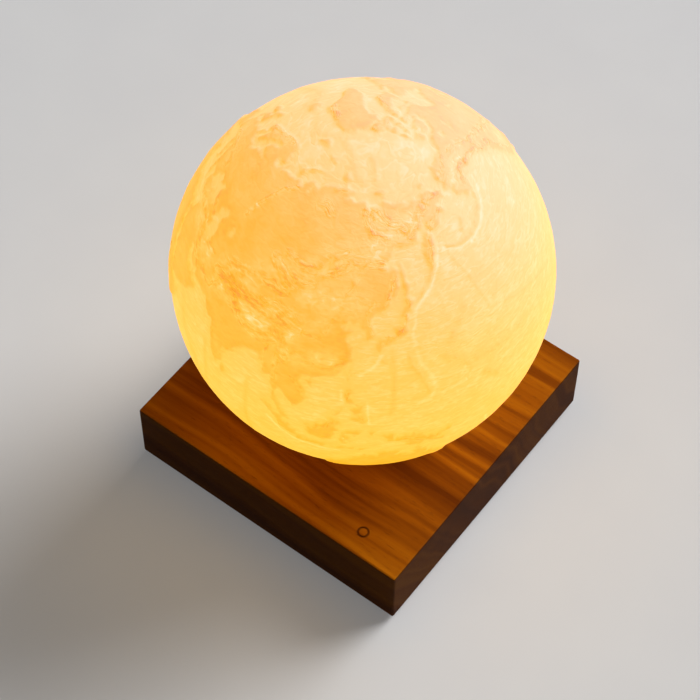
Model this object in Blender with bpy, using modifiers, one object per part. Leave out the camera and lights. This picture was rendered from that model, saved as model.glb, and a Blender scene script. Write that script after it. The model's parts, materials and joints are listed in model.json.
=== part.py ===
"""Levitating lamp: a printed relief globe that hovers over a walnut block.

Run with: blender --background --python part.py
Lengths are in metres and +Z is up. The origin is under the middle of the block, on the surface that
the lamp stands on. The block's rear, with the power inlet, faces +Y.
"""

from math import acos, cos, pi, radians, sin, sqrt

import bmesh
import bpy
import numpy as np
from mathutils import Matrix, Vector

# General fits
CLEARANCE = 0.0003            # gap between pieces that touch or slide
OVERRUN = 0.001               # how far a cutter runs past the face that it opens

# Wooden block
BASE_SIDE = 0.130
BASE_HEIGHT = 0.031
BASE_EDGE = 0.0008
WOOD_WALL = 0.009
WOOD_ROOF = 0.005
COVER_LIP = 0.005

# Engraved ring over the touch pad, on top of the block
MARK_FROM_FRONT = 0.010
MARK_FROM_RIGHT = 0.0227
MARK_RADIUS = 0.0023
MARK_LINE = 0.0004
MARK_DEPTH = 0.0003
TOUCH_BORE_RADIUS = 0.004
TOUCH_ROOF = 0.0045
TOUCH_PAD_THICKNESS = 0.0005
TOUCH_CHANNEL_WIDTH = 0.003
TOUCH_CHANNEL_DEPTH = 0.0032

# Cover plate and feet
COVER_THICKNESS = 0.003
COVER_CORNER = 0.003
FOOT_RADIUS = 0.006
FOOT_STANDOFF = 0.002
FOOT_RECESS = 0.0013
FOOT_FROM_SCREW = 0.0105
FOOT_EDGE = 0.0005

# Screws of the base: M3 pan heads
SCREW_RADIUS = 0.0015
SCREW_HEAD_RADIUS = 0.0028
SCREW_HEAD_HEIGHT = 0.0018
SCREW_LENGTH = 0.011
SCREW_SINK = 0.0002           # how deep a head lies under the face around it
SCREW_SLOT_WIDTH = 0.0008
SCREW_SLOT_DEPTH = 0.0008
COVER_SCREW_INSET = 0.0035
BOARD_SCREW_INSET = 0.003
BOARD_SCREW_EDGE = 0.0035

# Control board and what stands on it
BOARD_THICKNESS = 0.0016
UNDERBOARD_SPACE = 0.0051
BOARD_SIDE_GAP = 0.007
BOARD_CORNER_GAP = 0.002
TRAY_FLOOR = 0.0012
TRAY_WALL = 0.0013
TRAY_HEIGHT = 0.009
RING_MAGNET_WIDTH = 0.0095
POCKET_TRAY_GAP = 0.0011
COIL_TRAY_GAP = 0.0014
COIL_TO_COIL_GAP = 0.005
BOBBIN_FLANGE = 0.0012
BOBBIN_HUB_WALL = 0.0019
CORE_RADIUS = 0.003
WINDING_INSET = 0.0006
SPACER_THICKNESS = 0.0008
SPACER_OVERLAP = 0.0014
TRANSMITTER_THICKNESS = 0.0016
TRANSMITTER_OUTER_RADIUS = 0.033
TRANSMITTER_WIDTH = 0.012
ROOF_GAP = 0.0004
CAPACITOR_RADIUS = 0.005
CAPACITOR_UNDER_SPACER = 0.0014
CAPACITOR_GROOVE = 0.0005
CAPACITOR_EDGE = 0.0006
INDUCTOR_HEIGHT = 0.006
INDUCTOR_WAIST = 0.0035
INDUCTOR_FLANGE = 0.0012
FILM_CAPACITOR_WIDTH = 0.0075
FILM_CAPACITOR_THICKNESS = 0.004
FILM_CAPACITOR_UNDER_SPACER = 0.0049
CHIP_LEG_WIDTH = 0.0009
MICROCONTROLLER_SIZE = (0.007, 0.007, 0.001)
MICROCONTROLLER_PLACE = (-0.014, 0.006)
COIL_DRIVER_SIZE = (0.0062, 0.0126, 0.0022)
COIL_DRIVER_PLACE = (0.012, 0.004)
HALL_BODY = (0.0041, 0.0016, 0.003)
HALL_LEG_LENGTH = 0.005
HALL_LEG_WIDTH = 0.0004
HALL_LEG_PITCH = 0.00127
HALL_ORBIT = 0.0045

# Power inlet in the rear wall: a round socket for a 5.5 mm plug
JACK_RADIUS = 0.0055
JACK_BORE_RADIUS = 0.0032
JACK_BORE_DEPTH = 0.010
JACK_PIN_RADIUS = 0.001
JACK_PIN_RECESS = 0.0025
JACK_NUT_RADIUS = 0.0072
JACK_NUT_THICKNESS = 0.0028
JACK_INSIDE_LENGTH = 0.0062
JACK_RECESS = 0.0012
JACK_TRAY_GAP = 0.0007
JACK_TAB_PITCH = 0.005
JACK_TAB_WIDTH = 0.002
JACK_TAB_THICKNESS = 0.0006

# Wires in the base
WIRE_RADIUS = 0.0006
WIRE_BEND = 0.0015
WIRE_OVER_COVER = 0.0014      # height of a wire's middle over the cover plate that it runs along
WIRE_DROP = 0.0022            # how far a wire dips below the solder tab that it leaves
WIRE_TO_BOARD_EDGE = 0.005
TOUCH_WIRE_REACH = 0.014

# Globe
GLOBE_SEA_RADIUS = 0.0735
GLOBE_WALL = 0.002
LAND_RISE = 0.0007
RANGE_RISE = 0.0005
HOVER_GAP = 0.0135
FLAT_RADIUS = 0.0314
RIM_WIDTH = 0.0021
LEDGE_HEIGHT = 0.008
LEDGE_WIDTH = 0.0059

# Cap in the globe's bottom opening, with the floating magnet's cup
CAP_THICKNESS = 0.0024
CAP_EDGE = 0.0004
CUP_WALL = 0.0013
MAGNET_HEIGHT = 0.010
MAGNET_EDGE = 0.0005
CATCH_HEIGHT = 0.001
CATCH_REACH = 0.0012
CATCH_WIDTH = 0.003
CAP_SCREW_RADIUS = 0.001
CAP_SCREW_HEAD_RADIUS = 0.0019
CAP_SCREW_HEAD_HEIGHT = 0.0012
CAP_SCREW_LENGTH = 0.0052
CAP_SCREW_FROM_EDGE = 0.003
RECEIVER_HEIGHT = 0.005
RECEIVER_WIDTH = 0.0032

# Light board over the magnet
LED_BOARD_THICKNESS = 0.0016
LED_SIDE = 0.005
LED_HEIGHT = 0.0012
LED_DOME_RADIUS = 0.0018
LED_DOME_RISE = 0.0007
LED_ORBIT_SHARE = 0.583       # of the light board's radius
RECTIFIER_SIZE = (0.0045, 0.004, 0.0016)
RECTIFIER_ORBIT_SHARE = 0.78
SMOOTHING_RADIUS = 0.0032
SMOOTHING_HEIGHT = 0.0054
LEAD_RADIUS = 0.0004
LEAD_BEND = 0.001
LEAD_FROM_BOARD_EDGE = 0.0022

# Directions of patterns, in degrees from +X, and shapes in plan
NUT_SIDES = 6
SLOT_TURN = 30
CAP_SCREWS_FIRST = 30
CATCHES_FIRST = 60
DIAGONAL = 45
REAR = 90
HALL_LEG_STEPS = (-1, 0, 1)

# How finely round forms are drawn
GLOBE_SPLITS = 13             # parts that each edge of a 20-sided ball is split into, twice as many on coasts
CAVITY_ARC_STEPS = 9
LARGE_SIDES = 28
MEDIUM_SIDES = 16
SMALL_SIDES = 10
WIRE_RESOLUTION = 1
BEND_SHARES = (0, 0.33, 0.67, 1)
MERGE_DISTANCE = 1e-6         # points of a turned outline that are this near become one

# Where the coasts lie, as (longitude, latitude) in degrees, chosen by hand for this scale
PRIME_MERIDIAN = 181.2        # direction of longitude zero, in degrees from +X
COAST_SLOPE = 2.0             # width of the rise from sea to land, in degrees
COASTS = {
    "eurasia": (
        (-9, 37), (-9, 43), (-1, 44), (-4, 48), (3, 51), (8, 54), (10, 57), (6, 59), (6, 62), (14, 68),
        (25, 71), (40, 67), (45, 68), (60, 69), (70, 73), (80, 73), (100, 77), (112, 74), (130, 71),
        (150, 71), (170, 70), (180, 69), (190, 66), (178, 62), (170, 60), (163, 60), (162, 55),
        (157, 51), (156, 57), (162, 61), (150, 59), (142, 58), (136, 54), (141, 52), (138, 46),
        (130, 42), (129, 36), (126, 35), (125, 39), (121, 40), (118, 38), (122, 37), (120, 34),
        (122, 31), (119, 25), (114, 22), (108, 21), (106, 18), (109, 12), (105, 9), (101, 13), (99, 9),
        (103, 2), (100, 5), (98, 9), (97, 16), (94, 17), (91, 22), (87, 21), (80, 15), (80, 11),
        (77, 8), (74, 14), (72, 20), (67, 25), (57, 26), (50, 30), (52, 25), (57, 24), (59, 22),
        (52, 16), (44, 13), (39, 21), (35, 29), (34, 32), (36, 37), (27, 37), (26, 40), (23, 37),
        (19, 42), (13, 45), (18, 40), (16, 38), (10, 44), (3, 42), (0, 39), (-5, 36),
    ),
    "africa": (
        (-6, 35), (10, 37), (11, 33), (20, 31), (32, 31), (37, 21), (43, 12), (51, 12), (47, 4),
        (40, -4), (41, -14), (35, -22), (32, -29), (20, -35), (15, -27), (12, -17), (13, -8), (9, 0),
        (9, 4), (-5, 5), (-13, 9), (-17, 15), (-16, 22),
    ),
    "north_america": (
        (-168, 66), (-156, 71), (-128, 70), (-110, 68), (-94, 70), (-82, 68), (-94, 60), (-82, 53),
        (-78, 60), (-65, 60), (-56, 52), (-66, 50), (-65, 45), (-70, 42), (-76, 36), (-81, 31),
        (-81, 26), (-84, 30), (-97, 28), (-97, 21), (-91, 19), (-87, 21), (-84, 10), (-80, 8),
        (-95, 16), (-105, 20), (-113, 30), (-110, 24), (-118, 34), (-124, 42), (-124, 49), (-134, 58),
        (-150, 60), (-162, 56), (-160, 60),
    ),
    "south_america": (
        (-77, 8), (-72, 12), (-60, 9), (-50, 1), (-35, -6), (-39, -17), (-48, -27), (-58, -37),
        (-65, -41), (-68, -53), (-75, -50), (-73, -38), (-70, -20), (-81, -6), (-79, 2),
    ),
    "australia": (
        (114, -22), (115, -34), (124, -34), (132, -32), (139, -36), (147, -38), (153, -30), (150, -22),
        (145, -15), (142, -11), (140, -17), (136, -12), (131, -12), (122, -18),
    ),
    "greenland": (
        (-70, 77), (-55, 71), (-52, 65), (-44, 60), (-38, 65), (-22, 71), (-18, 80), (-35, 83), (-60, 82),
    ),
    "ellesmere": ((-62, 82), (-90, 82), (-90, 77), (-78, 77)),
    "baffin": ((-62, 67), (-80, 74), (-90, 74), (-74, 66), (-68, 62)),
    "victoria": ((-117, 70), (-105, 69), (-104, 73), (-122, 74)),
    "novaya_zemlya": ((52, 71), (57, 75), (68, 77), (59, 74), (57, 71)),
    "svalbard": ((11, 79), (20, 80), (27, 80), (17, 77)),
    "severnaya_zemlya": ((94, 79), (97, 81), (105, 79), (101, 78)),
    "new_siberia": ((138, 75), (142, 76), (151, 75), (141, 74)),
    "britain": ((-5, 50), (-5, 55), (-4, 59), (-2, 57), (1, 52)),
    "iceland": ((-24, 65), (-16, 66), (-14, 65), (-19, 63)),
    "japan": (
        (130, 31), (130, 34), (137, 37), (140, 41), (141, 45), (145, 43), (141, 40), (141, 35), (136, 33),
    ),
    "sakhalin": ((142, 46), (142, 54), (144, 49)),
    "philippines": ((120, 18), (122, 18), (126, 10), (126, 6), (122, 7), (121, 13)),
    "borneo": ((109, 1), (110, -3), (116, -4), (119, 1), (119, 6), (116, 7), (113, 3)),
    "sumatra": ((95, 5), (100, 3), (106, -3), (105, -6), (100, -1)),
    "java": ((105, -6), (114, -7), (115, -9), (106, -8)),
    "sulawesi": ((119, -5), (120, 1), (125, 2), (122, -5)),
    "new_guinea": ((131, -1), (138, -2), (146, -5), (151, -10), (144, -8), (138, -8)),
    "new_zealand": ((173, -35), (178, -38), (174, -43), (168, -47), (167, -45), (173, -40)),
    "madagascar": ((49, -12), (50, -16), (47, -25), (43, -22), (44, -16)),
}
INLAND_SEAS = {
    "black_sea": ((28, 42), (31, 46), (37, 46), (41, 42), (34, 42)),
    "caspian": ((47, 45), (53, 46), (54, 37), (50, 38)),
    "baltic": ((11, 54), (19, 55), (24, 59), (30, 60), (22, 61), (25, 65), (18, 62), (17, 57)),
    "white_sea": ((33, 66), (41, 67), (40, 64), (35, 64)),
}
# Mountain belts: the line along their crest, and half their width in degrees
RANGES = {
    "himalaya": (((70, 37), (76, 34), (84, 29), (92, 28), (98, 27)), 4),
    "kunlun": (((75, 37), (88, 36), (100, 35), (104, 30)), 5),
    "tian_shan": (((68, 40), (80, 43), (94, 43)), 3),
    "altai": (((85, 50), (98, 51), (110, 54), (126, 56), (134, 56)), 4),
    "verkhoyansk": (((127, 70), (130, 64), (140, 62), (155, 64), (170, 66)), 5),
    "urals": (((66, 68), (60, 62), (59, 52)), 2),
    "scandes": (((7, 60), (14, 66), (22, 69)), 3),
    "alps": (((6, 45), (14, 47), (24, 46)), 3),
    "zagros": (((36, 38), (44, 40), (50, 33), (57, 29), (66, 30)), 4),
    "ethiopia": (((38, 13), (37, 5), (34, -6), (30, -28)), 4),
    "rockies": (((-152, 64), (-134, 61), (-120, 52), (-112, 42), (-106, 34), (-103, 24)), 6),
    "andes": (((-74, 9), (-78, -3), (-70, -17), (-70, -32), (-73, -48)), 4),
    "greenland_ice": (((-45, 65), (-40, 72), (-42, 79)), 7),
}

# Heights up the block, from the surface that it stands on
WOOD_BOTTOM = FOOT_STANDOFF
WOOD_TOP = WOOD_BOTTOM + BASE_HEIGHT
COVER_TOP = WOOD_BOTTOM + COVER_THICKNESS
REBATE_ROOF = COVER_TOP + CLEARANCE
POCKET_ROOF = WOOD_TOP - WOOD_ROOF
BOARD_BOTTOM = COVER_TOP + UNDERBOARD_SPACE
BOARD_TOP = BOARD_BOTTOM + BOARD_THICKNESS
BOARD_SEAT = BOARD_TOP + CLEARANCE
TRANSMITTER_TOP = POCKET_ROOF - ROOF_GAP
TRANSMITTER_BOTTOM = TRANSMITTER_TOP - TRANSMITTER_THICKNESS
SPACER_TOP = TRANSMITTER_BOTTOM - CLEARANCE
SPACER_BOTTOM = SPACER_TOP - SPACER_THICKNESS
BOBBIN_BOTTOM = BOARD_SEAT
BOBBIN_TOP = SPACER_BOTTOM - CLEARANCE
CAPACITOR_TOP = SPACER_BOTTOM - CAPACITOR_UNDER_SPACER
INDUCTOR_TOP = BOARD_SEAT + INDUCTOR_HEIGHT
FILM_CAPACITOR_TOP = SPACER_BOTTOM - FILM_CAPACITOR_UNDER_SPACER
JACK_HEIGHT = (REBATE_ROOF + POCKET_ROOF) / 2
COVER_HEAD_BOTTOM = WOOD_BOTTOM + SCREW_SINK
COVER_SCREW_TOP = COVER_HEAD_BOTTOM + SCREW_HEAD_HEIGHT + SCREW_LENGTH
BOARD_HEAD_BOTTOM = BOARD_BOTTOM - CLEARANCE - SCREW_HEAD_HEIGHT
BOARD_SCREW_TOP = BOARD_HEAD_BOTTOM + SCREW_HEAD_HEIGHT + SCREW_LENGTH
TOUCH_BORE_TOP = WOOD_TOP - TOUCH_ROOF
WIRE_RUN = COVER_TOP + WIRE_OVER_COVER

# Distances out from the middle of the block
HALF_SIDE = BASE_SIDE / 2
POCKET_HALF = HALF_SIDE - WOOD_WALL
REBATE_HALF = HALF_SIDE - COVER_LIP
BOARD_HALF = POCKET_HALF - BOARD_SIDE_GAP
TRAY_OUTER = POCKET_HALF - JACK_INSIDE_LENGTH - JACK_TRAY_GAP
RING_OUTER = TRAY_OUTER - TRAY_WALL - CLEARANCE
RING_INNER = RING_OUTER - RING_MAGNET_WIDTH
TRAY_INNER = RING_INNER - CLEARANCE - TRAY_WALL
COIL_SPACE = TRAY_INNER - COIL_TRAY_GAP
COIL_RADIUS = (COIL_SPACE * sqrt(2) - COIL_TO_COIL_GAP) / (2 + sqrt(2))
COIL_ORBIT = COIL_SPACE - COIL_RADIUS
TRANSMITTER_INNER_RADIUS = TRANSMITTER_OUTER_RADIUS - TRANSMITTER_WIDTH
MARK_PLACE = (HALF_SIDE - MARK_FROM_RIGHT, MARK_FROM_FRONT - HALF_SIDE)

# A corner cut at 45 degrees is given by the sum of x and y along it
UPPER_CORNER_SUM = (TRAY_OUTER + POCKET_TRAY_GAP) * sqrt(2)
BOARD_SCREW_AT = UPPER_CORNER_SUM / 2 + BOARD_SCREW_INSET
BOARD_CORNER_SUM = (BOARD_SCREW_AT + BOARD_SCREW_EDGE) * 2
LOWER_CORNER_SUM = BOARD_CORNER_SUM + BOARD_CORNER_GAP * 2
COVER_SCREW_AT = LOWER_CORNER_SUM / 2 + COVER_SCREW_INSET
FOOT_AT = COVER_SCREW_AT - FOOT_FROM_SCREW

# Heights up the globe
FLAT_HEIGHT = WOOD_TOP + HOVER_GAP
GLOBE_CENTRE = FLAT_HEIGHT + sqrt(GLOBE_SEA_RADIUS ** 2 - FLAT_RADIUS ** 2)
CAP_TOP = FLAT_HEIGHT + CAP_THICKNESS
LEDGE_BOTTOM = CAP_TOP + CLEARANCE
LEDGE_TOP = FLAT_HEIGHT + LEDGE_HEIGHT
MAGNET_BOTTOM = CAP_TOP + CLEARANCE
MAGNET_TOP = MAGNET_BOTTOM + MAGNET_HEIGHT
LED_BOARD_BOTTOM = MAGNET_TOP + CLEARANCE
LED_BOARD_TOP = LED_BOARD_BOTTOM + LED_BOARD_THICKNESS
ON_LED_BOARD = LED_BOARD_TOP + CLEARANCE
CUP_TOP = ON_LED_BOARD + CATCH_HEIGHT
CAP_HEAD_BOTTOM = FLAT_HEIGHT + SCREW_SINK
CAP_SCREW_TOP = CAP_HEAD_BOTTOM + CAP_SCREW_HEAD_HEIGHT + CAP_SCREW_LENGTH

# Distances out from the globe's axis
CAP_SEAT_RADIUS = FLAT_RADIUS - RIM_WIDTH
CAP_RADIUS = CAP_SEAT_RADIUS - CLEARANCE
CAP_SCREW_AT = CAP_RADIUS - CAP_SCREW_FROM_EDGE
LEDGE_INNER_RADIUS = CAP_SEAT_RADIUS - LEDGE_WIDTH
RECEIVER_OUTER = LEDGE_INNER_RADIUS - CLEARANCE
RECEIVER_INNER = RECEIVER_OUTER - RECEIVER_WIDTH
CUP_OUTER = RECEIVER_INNER - CLEARANCE
CUP_INNER = CUP_OUTER - CUP_WALL
MAGNET_RADIUS = CUP_INNER - CLEARANCE
LED_ORBIT = MAGNET_RADIUS * LED_ORBIT_SHARE
RECTIFIER_ORBIT = MAGNET_RADIUS * RECTIFIER_ORBIT_SHARE

for old in list(bpy.data.objects):
    bpy.data.objects.remove(old, do_unlink=True)

PARTS = bpy.data.collections.new("levitating_lamp")
CUTTERS = bpy.data.collections.new("cutters")
for collection in (PARTS, CUTTERS):
    bpy.context.scene.collection.children.link(collection)


def finish(name, colour, roughness, metallic=0.0):
    """A plain Principled material."""
    material = bpy.data.materials.new(name)
    material.use_nodes = True
    shader = material.node_tree.nodes["Principled BSDF"]
    shader.inputs["Base Color"].default_value = (*colour, 1)
    shader.inputs["Roughness"].default_value = roughness
    shader.inputs["Metallic"].default_value = metallic
    return material


WALNUT = finish("walnut", (0.16, 0.065, 0.022), 0.5)
PRINTED = finish("printed_plastic", (0.9, 0.72, 0.42), 0.55)
BLACK_PLASTIC = finish("black_plastic", (0.02, 0.02, 0.022), 0.45)
WHITE_PLASTIC = finish("white_plastic", (0.8, 0.79, 0.76), 0.4)
RUBBER = finish("rubber", (0.03, 0.03, 0.03), 0.9)
STEEL = finish("steel", (0.6, 0.6, 0.62), 0.3, 1)
NICKEL = finish("nickel", (0.72, 0.7, 0.67), 0.25, 1)
FERRITE = finish("ferrite", (0.05, 0.05, 0.055), 0.6)
COPPER = finish("copper_wire", (0.72, 0.3, 0.13), 0.35, 1)
BOARD_GREEN = finish("circuit_board", (0.015, 0.11, 0.05), 0.4)
CHIP_BLACK = finish("chip_black", (0.02, 0.02, 0.02), 0.5)
CAN_BLUE = finish("capacitor_sleeve", (0.03, 0.05, 0.16), 0.35)
FILM_RED = finish("film_capacitor_case", (0.35, 0.04, 0.02), 0.4)
LED_YELLOW = finish("led_phosphor", (0.95, 0.75, 0.2), 0.4)
WIRE_RED = finish("red_insulation", (0.5, 0.02, 0.02), 0.5)
WIRE_BLACK = finish("black_insulation", (0.02, 0.02, 0.02), 0.5)


def put(name, data, material, group, place=(0, 0, 0), turn=0):
    """A new object in a collection, at a place, turned about its upright axis by so many degrees."""
    thing = bpy.data.objects.new(name, data)
    thing.location = place
    thing.rotation_euler.z = radians(turn)
    group.objects.link(thing)
    if material:
        data.materials.append(material)
    return thing


def smooth(data, angle=35):
    """Shade smooth, and keep the corners sharp."""
    data.shade_smooth()
    data.set_sharp_from_angle(angle=radians(angle))


def add_bevel(thing, width, segments=2):
    """Ease the sharp edges of an object."""
    bevel = thing.modifiers.new("eased_edges", 'BEVEL')
    bevel.width = width
    bevel.segments = segments
    bevel.limit_method = 'ANGLE'
    return thing


def block(name, size, place, material=None, group=PARTS, corner=0, turn=0):
    """A box that stands on place, with its upright edges cut off at 45 degrees by corner."""
    shape = bmesh.new()
    matrix = Matrix.Translation((0, 0, size[2] / 2)) @ Matrix.Diagonal((*size, 1))
    bmesh.ops.create_cube(shape, size=1, matrix=matrix)
    if corner:
        upright = [
            edge for edge in shape.edges
            if (edge.verts[0].co - edge.verts[1].co).xy.length < CLEARANCE]
        bmesh.ops.bevel(shape, geom=upright, offset=corner, segments=1, affect='EDGES')
    data = bpy.data.meshes.new(name)
    shape.to_mesh(data)
    shape.free()
    return put(name, data, material, group, place, turn)


def cylinder(name, radius, bottom, top, material=None, group=PARTS, centre=(0, 0), sides=MEDIUM_SIDES):
    """An upright cylinder between two heights."""
    shape = bmesh.new()
    bmesh.ops.create_cone(
        shape, cap_ends=True, segments=sides, radius1=radius, radius2=radius, depth=top - bottom)
    data = bpy.data.meshes.new(name)
    shape.to_mesh(data)
    shape.free()
    smooth(data)
    return put(name, data, material, group, (*centre, (bottom + top) / 2))


def turned(name, outline, material=None, group=PARTS, centre=(0, 0), sides=MEDIUM_SIDES):
    """A form turned about an upright axis, from an outline of (radius, height).

    The outline runs down the outer side. It starts and ends on the axis, or closes on itself.
    """
    ring = outline[0][0] > 0
    count = len(outline)
    edges = [(i, (i + 1) % count) for i in range(count if ring else count - 1)]
    data = bpy.data.meshes.new(name)
    data.from_pydata([(radius, 0, height) for radius, height in outline], edges, [])
    thing = put(name, data, material, group, (*centre, 0))
    screw = thing.modifiers.new("turn", 'SCREW')
    screw.axis = 'Z'
    screw.steps = screw.render_steps = sides
    screw.use_merge_vertices = True
    screw.merge_threshold = MERGE_DISTANCE
    screw.use_smooth_shade = False
    return thing


def ring(name, inner, outer, bottom, top, material=None, **others):
    """A flat ring of square section."""
    return turned(name, ((outer, top), (outer, bottom), (inner, bottom), (inner, top)), material, **others)


def tube(name, points, radius, material):
    """A wire along a list of points."""
    curve = bpy.data.curves.new(name, 'CURVE')
    curve.dimensions = '3D'
    curve.bevel_depth = radius
    curve.bevel_resolution = WIRE_RESOLUTION
    curve.use_fill_caps = True
    spline = curve.splines.new('POLY')
    spline.points.add(len(points) - 1)
    for point, place in zip(spline.points, points):
        point.co = (*place, 1)
    return put(name, curve, material, PARTS)


def combine(target, tool, operation):
    """Cut a tool away from an object, or join the tool to it."""
    tool.hide_render = True
    tool.display_type = 'WIRE'
    boolean = target.modifiers.new(tool.name, 'BOOLEAN')
    boolean.operation = operation
    boolean.solver = 'EXACT'
    boolean.object = tool


def cut(target, *tools):
    for tool in tools:
        combine(target, tool, 'DIFFERENCE')


def join(target, *tools):
    for tool in tools:
        combine(target, tool, 'UNION')


def rounded(route, bend):
    """The points of a route, with each of its corners rounded off over the same length."""
    route = [Vector(place) for place in route]
    points = [route[0]]
    for before, corner, after in zip(route, route[1:], route[2:]):
        first = corner + (before - corner).normalized() * bend
        last = corner + (after - corner).normalized() * bend
        for share in BEND_SHARES:
            points.append(first.lerp(corner, share).lerp(corner.lerp(last, share), share))
    return points + [route[-1]]


def corners(distance):
    """The four places at plus and minus one distance in X and Y, counted round."""
    return [(distance * x, distance * y) for x, y in ((1, 1), (-1, 1), (-1, -1), (1, -1))]


def around(radius, count, first=0):
    """Places spaced evenly on a circle: (x, y, direction in degrees)."""
    turns = [first + 360 * i / count for i in range(count)]
    return [(radius * cos(radians(turn)), radius * sin(radians(turn)), turn) for turn in turns]


def screw_outline(radius, head_radius, head_height, length, head_bottom):
    """A pan-head screw that points up, head below."""
    under_head = head_bottom + head_height
    return (
        (0, under_head + length), (radius, under_head + length), (radius, under_head),
        (head_radius, under_head), (head_radius, head_bottom + head_height / 3),
        (head_radius - head_height / 3, head_bottom), (0, head_bottom))


def screw(name, centre, radius, head_radius, head_height, length, head_bottom):
    """A pan-head screw with a slot across its head."""
    outline = screw_outline(radius, head_radius, head_height, length, head_bottom)
    thing = turned(name, outline, STEEL, centre=centre, sides=SMALL_SIDES)
    slot_size = (head_radius * 2 + OVERRUN, SCREW_SLOT_WIDTH, SCREW_SLOT_DEPTH + OVERRUN)
    slot_place = (*centre, head_bottom - OVERRUN)
    cut(thing, block(name + "_slot", slot_size, slot_place, group=CUTTERS, turn=SLOT_TURN))
    return thing


def screw_hole(target, name, centre, radius, head_radius, seat, bottom, top):
    """A clearance hole for a screw, opened for its head below the seat."""
    hole = turned(
        name,
        ((0, top), (radius + CLEARANCE, top), (radius + CLEARANCE, seat),
         (head_radius + CLEARANCE, seat), (head_radius + CLEARANCE, bottom - OVERRUN),
         (0, bottom - OVERRUN)),
        group=CUTTERS, centre=centre, sides=SMALL_SIDES)
    cut(target, hole)


def pilot_hole(target, name, centre, radius, bottom, top):
    """A plain hole for a screw's shank."""
    hole = cylinder(
        name, radius + CLEARANCE, bottom - OVERRUN, top, group=CUTTERS, centre=centre, sides=SMALL_SIDES)
    cut(target, hole)


def wooden_base():
    """Walnut block, milled from below for the works, the cover, the touch pad and the power inlet."""
    wood = add_bevel(
        block("wooden_base", (BASE_SIDE, BASE_SIDE, BASE_HEIGHT), (0, 0, WOOD_BOTTOM), WALNUT), BASE_EDGE)
    rebate = block(
        "cover_rebate", (REBATE_HALF * 2, REBATE_HALF * 2, REBATE_ROOF - WOOD_BOTTOM + OVERRUN),
        (0, 0, WOOD_BOTTOM - OVERRUN), group=CUTTERS, corner=COVER_CORNER)
    lower_pocket = block(
        "lower_pocket", (POCKET_HALF * 2, POCKET_HALF * 2, BOARD_SEAT - REBATE_ROOF + OVERRUN),
        (0, 0, REBATE_ROOF - OVERRUN), group=CUTTERS, corner=POCKET_HALF * 2 - LOWER_CORNER_SUM)
    upper_pocket = block(
        "upper_pocket", (POCKET_HALF * 2, POCKET_HALF * 2, POCKET_ROOF - BOARD_SEAT + OVERRUN),
        (0, 0, BOARD_SEAT - OVERRUN), group=CUTTERS, corner=POCKET_HALF * 2 - UPPER_CORNER_SUM)
    cut(wood, rebate, lower_pocket, upper_pocket)
    for number, centre in enumerate(corners(COVER_SCREW_AT), 1):
        pilot_hole(
            wood, f"cover_pilot_{number}", centre, SCREW_RADIUS, REBATE_ROOF, COVER_SCREW_TOP + CLEARANCE)
    for number, centre in enumerate(corners(BOARD_SCREW_AT), 1):
        pilot_hole(
            wood, f"board_pilot_{number}", centre, SCREW_RADIUS, BOARD_SEAT, BOARD_SCREW_TOP + CLEARANCE)
    inlet = cylinder(
        "inlet_hole", JACK_RADIUS + CLEARANCE, -WOOD_WALL / 2 - OVERRUN, WOOD_WALL / 2 + OVERRUN,
        group=CUTTERS, sides=MEDIUM_SIDES)
    lay_back(inlet, HALF_SIDE - WOOD_WALL / 2)
    cut(wood, inlet)
    touch_bore = cylinder(
        "touch_bore", TOUCH_BORE_RADIUS, REBATE_ROOF - OVERRUN, TOUCH_BORE_TOP, group=CUTTERS,
        centre=MARK_PLACE, sides=SMALL_SIDES)
    corner_wood = (MARK_PLACE[0] - MARK_PLACE[1] - LOWER_CORNER_SUM) / sqrt(2)
    channel_length = corner_wood + OVERRUN
    channel = block(
        "touch_channel", (TOUCH_CHANNEL_WIDTH, channel_length, TOUCH_CHANNEL_DEPTH + OVERRUN),
        (*MARK_PLACE, REBATE_ROOF - OVERRUN), group=CUTTERS, turn=DIAGONAL)
    for corner in channel.data.vertices:
        corner.co.y += channel_length / 2
    mark = ring(
        "touch_mark", MARK_RADIUS - MARK_LINE, MARK_RADIUS, WOOD_TOP - MARK_DEPTH, WOOD_TOP + OVERRUN,
        group=CUTTERS, centre=MARK_PLACE)
    cut(wood, touch_bore, channel, mark)


def bottom_cover():
    """Black plate in the block's rebate, with sunk screw heads and recesses for the feet."""
    side = (REBATE_HALF - CLEARANCE) * 2
    cover = block(
        "bottom_cover", (side, side, COVER_THICKNESS), (0, 0, WOOD_BOTTOM), BLACK_PLASTIC,
        corner=COVER_CORNER)
    head_seat = COVER_HEAD_BOTTOM + SCREW_HEAD_HEIGHT + CLEARANCE
    for number, centre in enumerate(corners(COVER_SCREW_AT), 1):
        screw_hole(
            cover, f"cover_hole_{number}", centre, SCREW_RADIUS, SCREW_HEAD_RADIUS, head_seat,
            WOOD_BOTTOM, COVER_TOP + OVERRUN)
        screw(
            f"cover_screw_{number}", centre, SCREW_RADIUS, SCREW_HEAD_RADIUS, SCREW_HEAD_HEIGHT,
            SCREW_LENGTH, COVER_HEAD_BOTTOM)
    foot_top = WOOD_BOTTOM + FOOT_RECESS - CLEARANCE
    for number, centre in enumerate(corners(FOOT_AT), 1):
        cut(cover, cylinder(
            f"foot_recess_{number}", FOOT_RADIUS + CLEARANCE, WOOD_BOTTOM - OVERRUN, foot_top + CLEARANCE,
            group=CUTTERS, centre=centre))
        turned(
            f"rubber_foot_{number}",
            ((0, foot_top), (FOOT_RADIUS, foot_top), (FOOT_RADIUS, FOOT_EDGE), (FOOT_RADIUS - FOOT_EDGE, 0),
             (0, 0)),
            RUBBER, centre=centre)


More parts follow.
